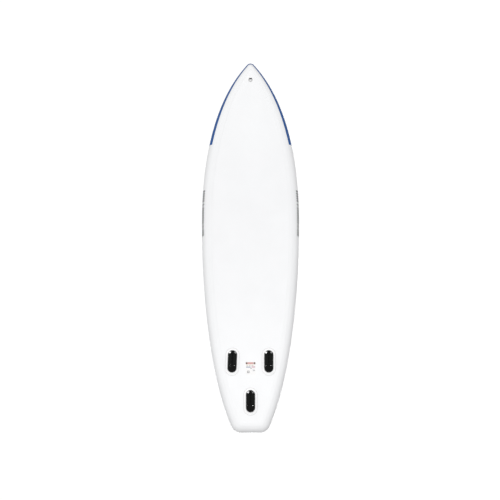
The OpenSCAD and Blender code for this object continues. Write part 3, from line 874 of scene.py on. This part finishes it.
# Ink, distance below the label's top, places across it, length and width
LABEL_BLOCKS = (
    ("red", 0.012, (0,), 0.017, 0.050),
    ("brown", 0.012, (-0.0335, 0.0345), 0.017, 0.0145),
    ("cream", 0.028, (-0.027, -0.004, 0.020), 0.006, 0.018),
    ("grey", 0.0335, (-0.030, -0.008, 0.014), 0.0028, 0.012),
    ("pale", 0.038, (-0.026, -0.006), 0.004, 0.015),
    ("blue", 0.046, (-0.019,), 0.009, 0.040),
    ("pink", 0.044, (0.024,), 0.018, 0.031),
    ("black", 0.056, (0.0045,), 0.0072, 0.0075),
    ("grey", 0.074, (0.030,), 0.007, 0.012),
)


def hull_label():
    """A film label with plain coloured blocks, in place of print."""
    matrix = on_hull(LABEL_X)
    label = Mesh()
    label.plate(rounded(*LABEL, 0.004), matrix, FILM_T, 0.0001, sink=SINK)

    def block(ink, x, y, length, width):
        at = matrix @ Matrix.Translation((x, -y, FILM_T - INK_T / 2))
        shape = rounded(length, width, 0.0008, 3)
        label.plate(shape, at, INK_T, 0.00004, slot=1 + list(INKS).index(ink))

    top = LABEL[0] / 2
    for ink, below, across, length, width in LABEL_BLOCKS:
        for y in across:
            block(ink, top - below, y, length, width)
    for i in range(4):
        block("pale", top - 0.064 - 0.006 * i, 0.024, 0.0025, 0.026 - 0.003 * i)
    for i in range(3):
        for j in range(3):
            if (i, j) != (1, 1):
                block("grey", top - 0.080 - 0.007 * i, -0.026 + 0.007 * j, 0.0062, 0.0062)
    label.piece("hull_label_film", [label_film, *INKS.values()], "hull_label", "label")


# ---- Rings, their tabs and patches ----

RING_PATCH_R = 0.030
RING_PATCH_T = 0.0008
TAB_W = 0.020
BAR_Z = 0.0044
LOOP_R = 0.00290
BAND_HALF = 0.00055
STITCH_PITCH = 0.0034
NOSE_RING_X = 1.464
LEASH_RING_X = -1.466
DECK_RINGS = (("front", 0.905, 0.150), ("rear", 0.575, 0.215))


def stitch_row(mesh, matrix, start, end, r=0.00028):
    """A row of small stitches on a surface, in the frame of a fitting."""
    start, end = np.array(start), np.array(end)
    length = np.linalg.norm(end - start)
    way = (end - start) / length
    for i in range(int(length / STITCH_PITCH)):
        a = start + way * (STITCH_PITCH * (i + 0.15))
        steps = np.linspace(0, 1, 5)[:, None]
        rise = np.sin(steps * pi) * r * 1.3
        path = a + way * steps * STITCH_PITCH * 0.7 + rise * np.array([0, 0, 1.0])
        mesh.tube(placed(matrix, path), r, sides=5, slot=1)


def ring_tab(mesh, matrix):
    """A band folded round the bar of the ring and sewn to itself."""
    low, high = RING_PATCH_T + BAND_HALF, RING_PATCH_T + 3 * BAND_HALF + 0.0002
    turn = np.linspace(radians(128), radians(-118), 22)
    path = [(-0.026, high), (-0.018, high), (-0.010, high), (-0.0065, high + 0.0006)]
    path += [(LOOP_R * cos(a), BAR_Z + LOOP_R * sin(a)) for a in turn]
    path += [(-0.0045, low), (-0.010, low), (-0.018, low), (-0.026, low)]
    path = np.array(path)
    way = unit(np.gradient(path, axis=0))
    normal = np.stack([-way[:, 1], way[:, 0]], axis=1)
    half = TAB_W / 2
    loops = []
    for p, n in zip(path, normal):
        section = [(half - 0.0004, 1.0), (half, 0.4), (half, -0.4), (half - 0.0004, -1.0)]
        section += [(-y, -s) for y, s in section]
        loops.append([(p[0] + n[0] * s * BAND_HALF, y, p[1] + n[1] * s * BAND_HALF) for y, s in section])
    mesh.loft(placed(matrix, loops))
    top = high + BAND_HALF
    for x in (-0.0225, -0.0115):
        stitch_row(mesh, matrix, (x, -half + 0.002, top), (x, half - 0.002, top))
    for y in (-half + 0.002, half - 0.002):
        stitch_row(mesh, matrix, (-0.0225, y, top), (-0.0115, y, top))


def tab_cover(mesh, matrix, slot):
    """A welded strip that hides the tail of a tab and leaves its loop showing."""
    low, high = RING_PATCH_T - 0.0001, RING_PATCH_T + 4 * BAND_HALF + 0.0010
    loops = []
    rim = 0.0004
    back = [(-0.0290, 0.10), (-0.0275, 0.25), (-0.0262, 0.85), (-0.0250, 1.0)]
    front = [(-0.0085, 1.0), (-0.0080, 0.92)]
    for x, rise in back + front:
        z = low + rim + (high - low - rim) * rise
        side = 0.0155 if x < -0.028 else 0.0165
        half = [(side, low), (side, low + rim), (0.0125, z - rim), (0.0108, z)]
        loops.append([(x, y, g) for y, g in both_sides(half)])
    mesh.loft(placed(matrix, loops), slot)


def ring_frame(ring, matrix):
    """The fitting's frame, moved so that its bar lies on the ring's hinge."""
    out = matrix.copy()
    bar = matrix.to_3x3() @ Vector((0, 0, BAR_Z))
    out.translation = Vector(JOINTS[ring + "_swing"]["pos_m"]) - bar
    return out


def ring_patch(mesh, matrix):
    mesh.plate(disc(RING_PATCH_R), matrix, RING_PATCH_T, 0.0004, sink=0.0003)


def rings():
    fittings = {
        "nose_ring": ring_frame("nose_ring", on_hull(NOSE_RING_X, 0, pi)),
        "leash_ring": ring_frame("leash_ring", on_deck(LEASH_RING_X)),
    }
    deck = {}
    for place, x, y in DECK_RINGS:
        for name, side in SIDES.items():
            ring = f"deck_ring_{place}_{name}"
            deck[ring] = ring_frame(ring, on_deck(x, side * y, side * pi / 2))
    for ring in [*fittings, *deck]:
        coat(ring, steel)
    for ring, matrix in fittings.items():
        patch, tab = Mesh(), Mesh()
        ring_patch(patch, matrix)
        patch.piece(f"{ring}_patch_welded", [pvc_patch], f"{ring}_patch")
        ring_tab(tab, matrix)
        if ring == "nose_ring":
            tab_cover(tab, matrix, 2)
        tab.piece(f"{ring}_tab_sewn", [webbing, black_thread, pvc_patch], f"{ring}_tab", "webbing")
    patches, tabs = Mesh(), Mesh()
    for matrix in deck.values():
        ring_patch(patches, matrix)
        ring_tab(tabs, matrix)
    patches.piece("deck_ring_patches_welded", [pvc_patch], "deck_ring_patches")
    tabs.piece("deck_ring_tabs_sewn", [webbing, black_thread], "deck_ring_tabs", "webbing")


# ---- Inflation valve ----

VALVE = on_deck(-1.342)
VALVE_HOLE_R = 0.0235
VALVE_SPRING = VALVE @ Matrix.Translation((0, 0, -0.019))
CAP = VALVE @ Matrix.Translation((0, 0, 0.0062))
CAP_GROOVE = 0.0041
SCALLOPS = 12
SCALLOP_DEPTH = 0.0013
GRIP_HALF = (0.0240, 0.0041)


def ring_profile(inner, outer, low, high, edge):
    """A closed profile of a flat ring with its upper edges rounded."""
    out = [(inner, low), (outer, low), (outer, high - edge)]
    for a in (0.6, 1.1, 1.57):
        out.append((outer - edge * (1 - cos(a)), high - edge * (1 - sin(a))))
    for a in (0.0, 0.5, 1.0):
        out.append((inner + edge * (1 - sin(a)), high - edge * (1 - cos(a))))
    return out


def valve_cap():
    """A round cap with finger scallops round its edge, a groove for the tether and a grip bar."""

    def wave(r, z, a):
        if r < 0.030 or z < CAP_GROOVE:
            return r
        return r - SCALLOP_DEPTH * max(0.0, cos(SCALLOPS * a)) ** 3

    skirt = [(0.0250, 0.0), (0.0354, 0.0), (0.0360, 0.0005), (0.0360, 0.0011), (0.0355, 0.0015)]
    groove = [(0.0340, 0.0015), (0.0340, CAP_GROOVE), (0.0355, CAP_GROOVE)]
    edge = [(0.0360, 0.0046), (0.0360, 0.0060), (0.0352, 0.0069), (0.0325, 0.0084), (0.0295, 0.0094)]
    top = [(0.0285, 0.0095), (0.0262, 0.0086), (0.0240, 0.0081), (0.0010, 0.0081)]
    under = [(0.0010, 0.0001), (0.0220, 0.0), (0.0220, 0.0016), (0.0250, 0.0016)]
    cap = Mesh()
    cap.lathe(skirt + groove + edge + top + under, CAP, 144, wave)
    cap.plate(disc(0.0015, 24), CAP, 0.0081, 0.0001)
    bar = []
    low = 0.0078
    for t in np.linspace(-1, 1, 25):
        half = GRIP_HALF[1] * (0.78 + 0.22 * t * t) * (1 - 0.315 * max(0, abs(t) - 0.93) / 0.07)
        top = 0.0156 - 0.0035 * max(0.0, abs(t) - 0.8) / 0.2
        x = t * GRIP_HALF[0]
        side = [(half, low), (half, top - 0.0012), (half - 0.0005, top - 0.0004), (half - 0.0013, top)]
        bar.append([(x, y, z) for y, z in both_sides(side)])
    cap.loft(placed(CAP, bar))
    cap.piece("valve_cap_scalloped", [nylon_grey], "valve_cap", "valve_plastic", "valve_cap", 32)


def valve():
    patch = Mesh()
    patch.lathe(ring_profile(VALVE_HOLE_R, 0.050, -SINK, 0.0010, 0.0004), VALVE, 96)
    patch.piece("valve_patch_welded", [pvc_patch], "valve_patch")
    valve_cap()
    soften("valve_body", 0.0005, nylon_grey)
    soften("valve_tether_ring", 0.0003, nylon_grey)
    soften("valve_tether", 0.0003, nylon_grey)
    soften("valve_stem", 0.0003, nylon_orange)
    coat("valve_nut", nylon_grey)
    for node in ("valve_gasket", "valve_diaphragm", "valve_cap_seal"):
        coat(node, soft_rubber)
    spring("valve_spring", VALVE_SPRING, 0.004, 0.009, 3, "valve_spring")


def cut_valve_hole(deck):
    """Opens the deck panel for the neck of the valve."""
    cutter = Mesh()
    depth = 0.012
    at = VALVE @ Matrix.Translation((0, 0, -depth / 2))
    cutter.plate(disc(VALVE_HOLE_R, 48), at, depth, 0.0001)
    data = bpy.data.meshes.new("cutter")
    data.from_pydata(cutter.points, [], cutter.faces)
    tool = in_scene("cutter", data)
    cut = deck.modifiers.new("valve_hole", "BOOLEAN")
    cut.object = tool
    cut.operation = "DIFFERENCE"
    cut.solver = "EXACT"
    bpy.context.view_layer.update()
    graph = bpy.context.evaluated_depsgraph_get()
    opened = bpy.data.meshes.new_from_object(deck.evaluated_get(graph))
    deck.modifiers.clear()
    deck.data = opened
    bpy.data.objects.remove(tool)


# ---- Traction pad and kick bar ----

PAD_T = 0.005
PAD_X = (-1.250, 0.480)
PAD_MARGIN = 0.042
PAD_CORNER = 0.090
PAD_HOLE = (0.330, 0.130)
PAD_BASE = 0.0034
PAD_EDGE = 0.0008
PAD_SINK = 0.0002
PAD_BORDER = 0.022
CENTRE_HALF = 0.155
GROOVE = 0.0035
DIAMOND = (0.066, 0.034)
STRIP = 0.0215


def pad_half(x):
    """Half the width of the traction pad, with its rounded ends."""
    e = min(x - PAD_X[0], PAD_X[1] - x)
    w = float(half_width(x)) - PAD_MARGIN
    if e >= PAD_CORNER:
        return w
    return w - PAD_CORNER + sqrt(max(0.0, PAD_CORNER**2 - (PAD_CORNER - e) ** 2))


def pad_outline(inset):
    """Points round the pad, drawn in by a distance."""
    ends = PAD_CORNER * (1 - np.cos(np.linspace(0, pi / 2, 10)))
    middle = np.linspace(PAD_X[0] + PAD_CORNER, PAD_X[1] - PAD_CORNER, 50)[1:-1]
    x = np.concatenate([PAD_X[0] + ends, middle, PAD_X[1] - ends[::-1]])
    port = np.array([(t, pad_half(t)) for t in x])
    loop = np.concatenate([port, port[::-1] * [1, -1]])
    way = unit(np.roll(loop, -1, 0) - np.roll(loop, 1, 0))
    return loop + inset * np.stack([way[:, 1], -way[:, 0]], axis=1)


def onto_deck(points, height):
    """Lays flat points on the deck."""
    points = np.asarray(points, float)
    return np.concatenate([points, (DECK_Z + rocker(points[..., 0]) + height)[..., None]], axis=-1)


def edge_of_hole(way, grow=0.0):
    """The point where a line from the middle of the board leaves the handle's opening."""
    half, r = (PAD_HOLE[0] - PAD_HOLE[1]) / 2, PAD_HOLE[1] / 2 + grow
    way = way / np.linalg.norm(way)
    flat = r / max(abs(way[1]), 1e-9)
    if abs(flat * way[0]) <= half:
        return flat * way
    b = abs(way[0]) * half
    return (b + sqrt(b * b - half * half + r * r)) * way


def island(mesh, polygon, slot):
    """A raised block of the pad with a chamfered edge."""
    polygon = np.array(polygon)
    middle = polygon.mean(axis=0)
    reach = np.linalg.norm(polygon - middle, axis=1)[:, None]
    inner = polygon + (middle - polygon) / reach * PAD_EDGE
    rows = [(polygon, PAD_BASE - PAD_SINK), (polygon, PAD_T - PAD_EDGE), (inner, PAD_T)]
    mesh.loft([onto_deck(p, z) for p, z in rows], slot)


def clip(polygon, point, normal):
    """The part of a convex polygon on the side of a line that its normal points to."""
    out = []
    for p, q in zip(polygon, polygon[1:] + polygon[:1]):
        a, b = np.dot(np.subtract(p, point), normal), np.dot(np.subtract(q, point), normal)
        if a >= 0:
            out.append(p)
        if a * b < 0:
            out.append(tuple(np.add(p, np.subtract(q, p) * a / (a - b))))
    return out


def diamond(x, y):
    """One diamond of the middle zone, cut to the zone and to the border round the handle."""
    hx, hy = (d / 2 - GROOVE * 0.75 for d in DIAMOND)
    shape = [(x + hx, y), (x, y + hy), (x - hx, y), (x, y - hy)]
    ends = (PAD_X[0] + PAD_BORDER + GROOVE, PAD_X[1] - PAD_BORDER - GROOVE)
    for end, sign in zip(ends, (1, -1)):
        shape = clip(shape, (end, 0), (sign, 0))
    for sign in (-1, 1):
        shape = clip(shape, (0, sign * (CENTRE_HALF - GROOVE)), (0, -sign))
    half = (PAD_HOLE[0] - PAD_HOLE[1]) / 2
    away = np.array([x - min(max(x, -half), half), y + 1e-6])
    away /= np.linalg.norm(away)
    r = PAD_HOLE[1] / 2 + PAD_BORDER + GROOVE
    at = np.array([min(max(x, -half), half), 0]) + r * away
    return clip(shape, at, away) if shape else shape


def deck_pad():
    """Foam sheet with a border, diamonds down the middle and lengthwise strips at the sides."""
    pad = Mesh()
    outer = pad_outline(0)
    hole = np.array([edge_of_hole(p) for p in outer])
    spread = np.linspace(0, 1, 22)[None, :, None]
    flat = hole[:, None] + (outer - hole)[:, None] * spread
    sheet = np.concatenate([onto_deck(flat, 0.0), onto_deck(flat, PAD_BASE)[:, ::-1]], axis=1)
    pad.loft(sheet, 2, ring=True)
    insets = (0, PAD_BORDER, PAD_EDGE, PAD_BORDER - PAD_EDGE)
    rim = [pad_outline(g) for g in insets]
    near = [np.array([edge_of_hole(p, g) for p in outer]) for g in insets]
    for a, b, a_top, b_top in (rim, near):
        section = [(a, 0.0005), (b, 0.0005), (b, PAD_T - PAD_EDGE), (b_top, PAD_T), (a_top, PAD_T),
                   (a, PAD_T - PAD_EDGE)]
        pad.loft(np.stack([onto_deck(p, z) for p, z in section], axis=1), 0, ring=True)
    rows = math.ceil(CENTRE_HALF / DIAMOND[1])
    for i in range(math.floor(PAD_X[0] / DIAMOND[0]), math.ceil(PAD_X[1] / DIAMOND[0])):
        for j in range(-rows, rows + 1):
            for shift in (0.0, 0.5):
                shape = diamond((i + shift) * DIAMOND[0], (j + shift) * DIAMOND[1])
                if len(shape) > 2 and np.ptp(np.array(shape), axis=0).min() > 0.005:
                    island(pad, shape, 1)
    limits = np.linspace(PAD_X[0] + 0.001, PAD_X[1] - 0.001, 200)
    widths = np.array([pad_half(x) for x in limits]) - PAD_BORDER - GROOVE
    for side in (1, -1):
        low = CENTRE_HALF
        while low < widths.max() - 0.006:
            keep = widths > low + 0.006
            x = limits[keep]
            high = np.minimum(low + STRIP - GROOVE, widths[keep])
            loops = []
            for t, h in zip(x, high):
                foot, top = PAD_BASE - PAD_SINK, PAD_T - PAD_EDGE
                section = [(low, foot), (h, foot), (h, top)]
                section += [(h - PAD_EDGE, PAD_T), (low + PAD_EDGE, PAD_T), (low, top)]
                z = DECK_Z + float(rocker(t))
                loops.append([(t, side * y, z + g) for y, g in section])
            pad.loft(loops, 0)
            low += STRIP
    o = pad.piece("traction_pad", [eva_blue, eva_grey, eva_dark], "deck_pad", "eva_pad", sharp=30)


KICK_W = 0.320
KICK_X = -1.222
KICK_ROUND = 0.03


def tail_kick():
    """Foam bar with a sloping face, grooves along it and rounded ends."""
    profile = [(-0.020, 0.0), (0.0220, 0.0), (0.0205, 0.0035)]
    groove = [(0.0014, -0.0009), (0.0002, -0.0016), (-0.0012, -0.0007), (-0.0014, 0.0009)]
    for t in (0.2, 0.45, 0.7):
        profile += [(0.020 - 0.026 * t + x, 0.004 + 0.016 * t + z) for x, z in groove]
    profile += [(-0.0050, 0.0193), (-0.0075, 0.0199), (-0.0140, 0.0200)]
    profile += [(-0.0165, 0.0192), (-0.0183, 0.0172), (-0.0199, 0.0145)]
    middle = np.array([-0.003, 0.0])
    end = np.linspace(0, KICK_ROUND, 6)[:-1]
    loops = []
    for share in np.concatenate([end, np.linspace(KICK_ROUND, 1 - KICK_ROUND, 30), 1 - end[::-1]]):
        near = max(0.0, 1 - min(share, 1 - share) / KICK_ROUND)
        scale = 1 - 0.42 * (1 - sqrt(1 - 0.99 * near**2))
        y = KICK_W * (share - 0.5)
        loops.append([(x, y, z) for x, z in middle + (np.array(profile) - middle) * scale])
    kick = Mesh()
    kick.loft(placed(on_deck(KICK_X) @ Matrix.Translation((0, 0, PAD_T - PAD_SINK)), loops))
    o = kick.piece("tail_kick_bar", [eva_dark], "tail_kick", "eva_pad", sharp=35)


# ---- Carry handle ----

HANDLE_H = 0.030
HANDLE_REACH = 0.100
HANDLE_FOOT = 0.062
HANDLE_PATCH = (0.084, 0.076)
STRAP = (0.038, 0.002)
GRIP = (0.062, 0.046, 0.006)
STRAP_Z = DECK_Z + PATCH_T


def arch(x):
    return HANDLE_H / 2 * (1 + cos(pi * min(1.0, abs(x) / HANDLE_REACH)))


def handle():
    patches = Mesh()
    centre = HANDLE_REACH + HANDLE_FOOT + 0.001 - HANDLE_PATCH[0] / 2
    for side in (1, -1):
        at = Matrix.Translation((side * centre, 0, DECK_Z))
        patches.plate(stadium(*HANDLE_PATCH, 24), at, PATCH_T, PATCH_EDGE, sink=SINK)
    patches.piece("handle_patches_welded", [pvc_patch], "handle_patches")

    strap = Mesh()
    end = HANDLE_REACH + HANDLE_FOOT
    half, thick, rim = STRAP[0] / 2, STRAP[1], 0.0006
    loops = []
    for x in np.linspace(-end, end, 109):
        z = STRAP_Z + arch(x)
        wave = 0.0003 * sin(x * 260) * (abs(x) < HANDLE_REACH)
        side = [(half - rim, 0.0), (half, rim), (half, thick - rim), (half - rim, thick)]
        loops.append([(x, y * (1 + wave * 8), z + g) for y, g in both_sides(side)])
    strap.loft(loops)
    top = Matrix.Translation((0, 0, STRAP_Z + thick))
    for side in (1, -1):
        near, far, y = side * (HANDLE_REACH + 0.008), side * (end - 0.006), half - 0.004
        corners = [(near, -y, 0), (near, y, 0), (far, y, 0), (far, -y, 0)]
        lines = [*zip(corners, corners[1:] + corners[:1]), corners[::2], corners[1::2]]
        for a, b in lines:
            stitch_row(strap, top, a, b, r=0.0004)
    strap.piece("handle_webbing", [webbing, black_thread], "handle_strap", "webbing")

    grip = Mesh()
    reach, width, pad = GRIP
    loops = []
    a = circle(40)
    for x in np.linspace(-reach, reach, 61):
        end_share = min(1.0, (reach - abs(x)) / 0.007)
        full = 0.55 + 0.45 * sqrt(1 - (1 - end_share) ** 2)
        slack = 1 + 0.012 * sin(9 + x * 310) + 0.008 * sin(2 + x * 790)
        ny, nz = width / 2 * (0.86 + 0.14 * full), (pad + STRAP[1] / 2) * full * slack
        z = STRAP_Z + arch(x) + STRAP[1] / 2
        y_ = ny * np.sign(np.cos(a)) * np.abs(np.cos(a)) ** 0.62
        z_ = nz * np.sign(np.sin(a)) * np.abs(np.sin(a)) ** 0.75
        seam = np.where(np.abs(a - 1.5 * pi) < 0.12, 0.0009, 0.0)
        loops.append(np.stack([np.full(40, x), y_, z + z_ + seam], axis=1))
    grip.loft(loops)
    for x in (-reach + 0.0085, reach - 0.0085):
        ring = []
        z = STRAP_Z + arch(x) + STRAP[1] / 2
        for t in circle(60):
            c, q = cos(t), sin(t)
            ring.append((x, width / 2 * math.copysign(abs(c) ** 0.62, c) * 0.998,
                         z + (pad + STRAP[1] / 2) * math.copysign(abs(q) ** 0.75, q) * 0.998))
        grip.tube(ring, 0.0006, slot=1, sides=6, closed=True)
    o = grip.piece("handle_neoprene_grip", [neoprene, black_thread], "handle_grip", "grip_foam")


def main():
    panel("hull_panel", "hull_skin", HULL_Z, 1)
    cut_valve_hole(panel("deck_panel", "deck_skin", DECK_Z, -1))
    rails()
    tapes()
    joint_patches()
    nose_stripe()
    rail_marks()
    fin_boxes()
    hull_label()
    rings()
    valve()
    deck_pad()
    tail_kick()
    handle()
    coat("drop_stitch_threads", pale_thread)


# ---- Stage: floor, light and camera ----

FRAME_W = 4.322
CAMERA_D = 60.0
CAMERA_AT = (-0.018, -0.0045)
FLOOR_HALF = 200.0
FLOOR_Z = -0.0003
# Levels of light from straight below to straight above, and how they lean along x and y
TENT = ((0.0, 1.0), (0.25, 0.69), (0.38, 0.44), (0.50, 0.37), (0.56, 0.47), (0.78, 0.25), (1.0, 0.48))
TENT_POWER = 1.28
TENT_LEAN = (0.31, -0.11)
BACKDROP_POWER = 1.05
SUN_POWER = 1.35
SUN_ANGLE = radians(35)
SUN_WAY = (0.15, -0.06, -1.0)
TAIL = (-1.1, 0.0, 0.0)
# Name, place, target, size and power of each lamp, and the fin box part that it lights alone
LAMPS = (
    ("bevel_card", (3.4, -5.0, -1.2), TAIL, (3.0, 1.8), 5000, "base"),
    ("bevel_card_port", (3.4, 5.0, -1.2), TAIL, (3.0, 1.8), 1200, "base"),
    ("pin_card", (-4.1, 0.0, -6.0), (-4.1, 0.0, 0.0), (7.0, 3.0), 400, "pin"),
    ("tail_fill", (-1.25, 0.0, -0.95), (-1.25, 0.0, 0.0), (0.8, 0.8), 0.75, None),
)


def stage():
    """A pale floor that is seen from above only: from below it lets the view through to the hull."""
    data = bpy.data.meshes.new("floor")
    corners = [(-1, -1), (1, -1), (1, 1), (-1, 1)]
    data.from_pydata([(x * FLOOR_HALF, y * FLOOR_HALF, FLOOR_Z) for x, y in corners], [], [[0, 1, 2, 3]])
    floor = in_scene("floor", data)
    n = Nodes("floor", (0.88, 0.88, 0.88), 0.9)
    back = n.node("NewGeometry").outputs["Backfacing"]
    n.mix("Material Output", back, n.shader.outputs[0], n.node("BsdfTransparent").outputs[0])
    data.materials.append(n.material)
    for part in ("diffuse", "glossy", "transmission", "shadow", "volume_scatter"):
        setattr(floor, "visible_" + part, False)


def world():
    """A soft tent of light: brightest straight below, where the hull faces, darker at the horizon, and
    leaning to the nose and to starboard. The camera sees a plain white backdrop in its place."""
    w = bpy.data.worlds.new("tent")
    bpy.context.scene.world = w
    w.use_nodes = True
    n = Tree(w.node_tree)
    tent = n.tree.nodes["Background"]
    way = n.node("SeparateXYZ", Vector=n.node("TexCoord").outputs["Generated"]).outputs
    height = n.math("ADD", n.math("MULTIPLY", way["Z"], 0.5), 0.5)
    n.put(tent.inputs["Color"], n.shades(height, *((place, (level,) * 3) for place, level in TENT)))
    lean = n.math("ADD", n.total(way["X"], TENT_LEAN[0], way["Y"], TENT_LEAN[1]), 1.0)
    n.put(tent.inputs["Strength"], n.math("MULTIPLY", lean, TENT_POWER))
    backdrop = n.node("Background", Color=(1, 1, 1, 1), Strength=BACKDROP_POWER)
    seen = n.node("LightPath").outputs["Is Camera Ray"]
    n.mix("World Output", seen, tent.outputs[0], backdrop.outputs[0])


def aimed(name, data, way):
    """A light in the scene that shines along a direction."""
    o = in_scene(name, data)
    o.rotation_mode = "QUATERNION"
    o.rotation_quaternion = way.to_track_quat("-Z", "Y")
    return o


def sun():
    """A broad soft sun, almost overhead."""
    data = bpy.data.lights.new("sun", "SUN")
    data.energy = SUN_POWER
    data.angle = SUN_ANGLE
    aimed("sun", data, Vector(SUN_WAY))


def lamp(name, place, target, size, power, part):
    data = bpy.data.lights.new(name, "AREA")
    data.shape = "RECTANGLE"
    data.size, data.size_y = size
    data.energy = power
    o = aimed(name, data, Vector(target) - Vector(place))
    o.location = place
    o.visible_camera = False
    if part:
        group = bpy.data.collections.new(name + "_lit")
        for box in FIN_BOXES:
            group.objects.link(frame["nodes"][f"fin_{part}_{box}"])
        o.light_linking.receiver_collection = group


def camera():
    """Looks straight up at the hull, with the nose at the top of the picture."""
    data = bpy.data.cameras.new("camera")
    data.sensor_width = 36.0
    data.lens = data.sensor_width * CAMERA_D / FRAME_W
    data.clip_end = 400.0
    o = in_scene("camera", data)
    o.matrix_world = Matrix((
        (0, 1, 0, CAMERA_AT[0]),
        (1, 0, 0, CAMERA_AT[1]),
        (0, 0, -1, -CAMERA_D),
        (0, 0, 0, 1),
    ))
    bpy.context.scene.camera = o


main()
stage()
world()
sun()
for settings in LAMPS:
    lamp(*settings)
camera()
bpy.context.scene.view_settings.view_transform = "Standard"
bpy.context.scene.view_settings.look = "None"
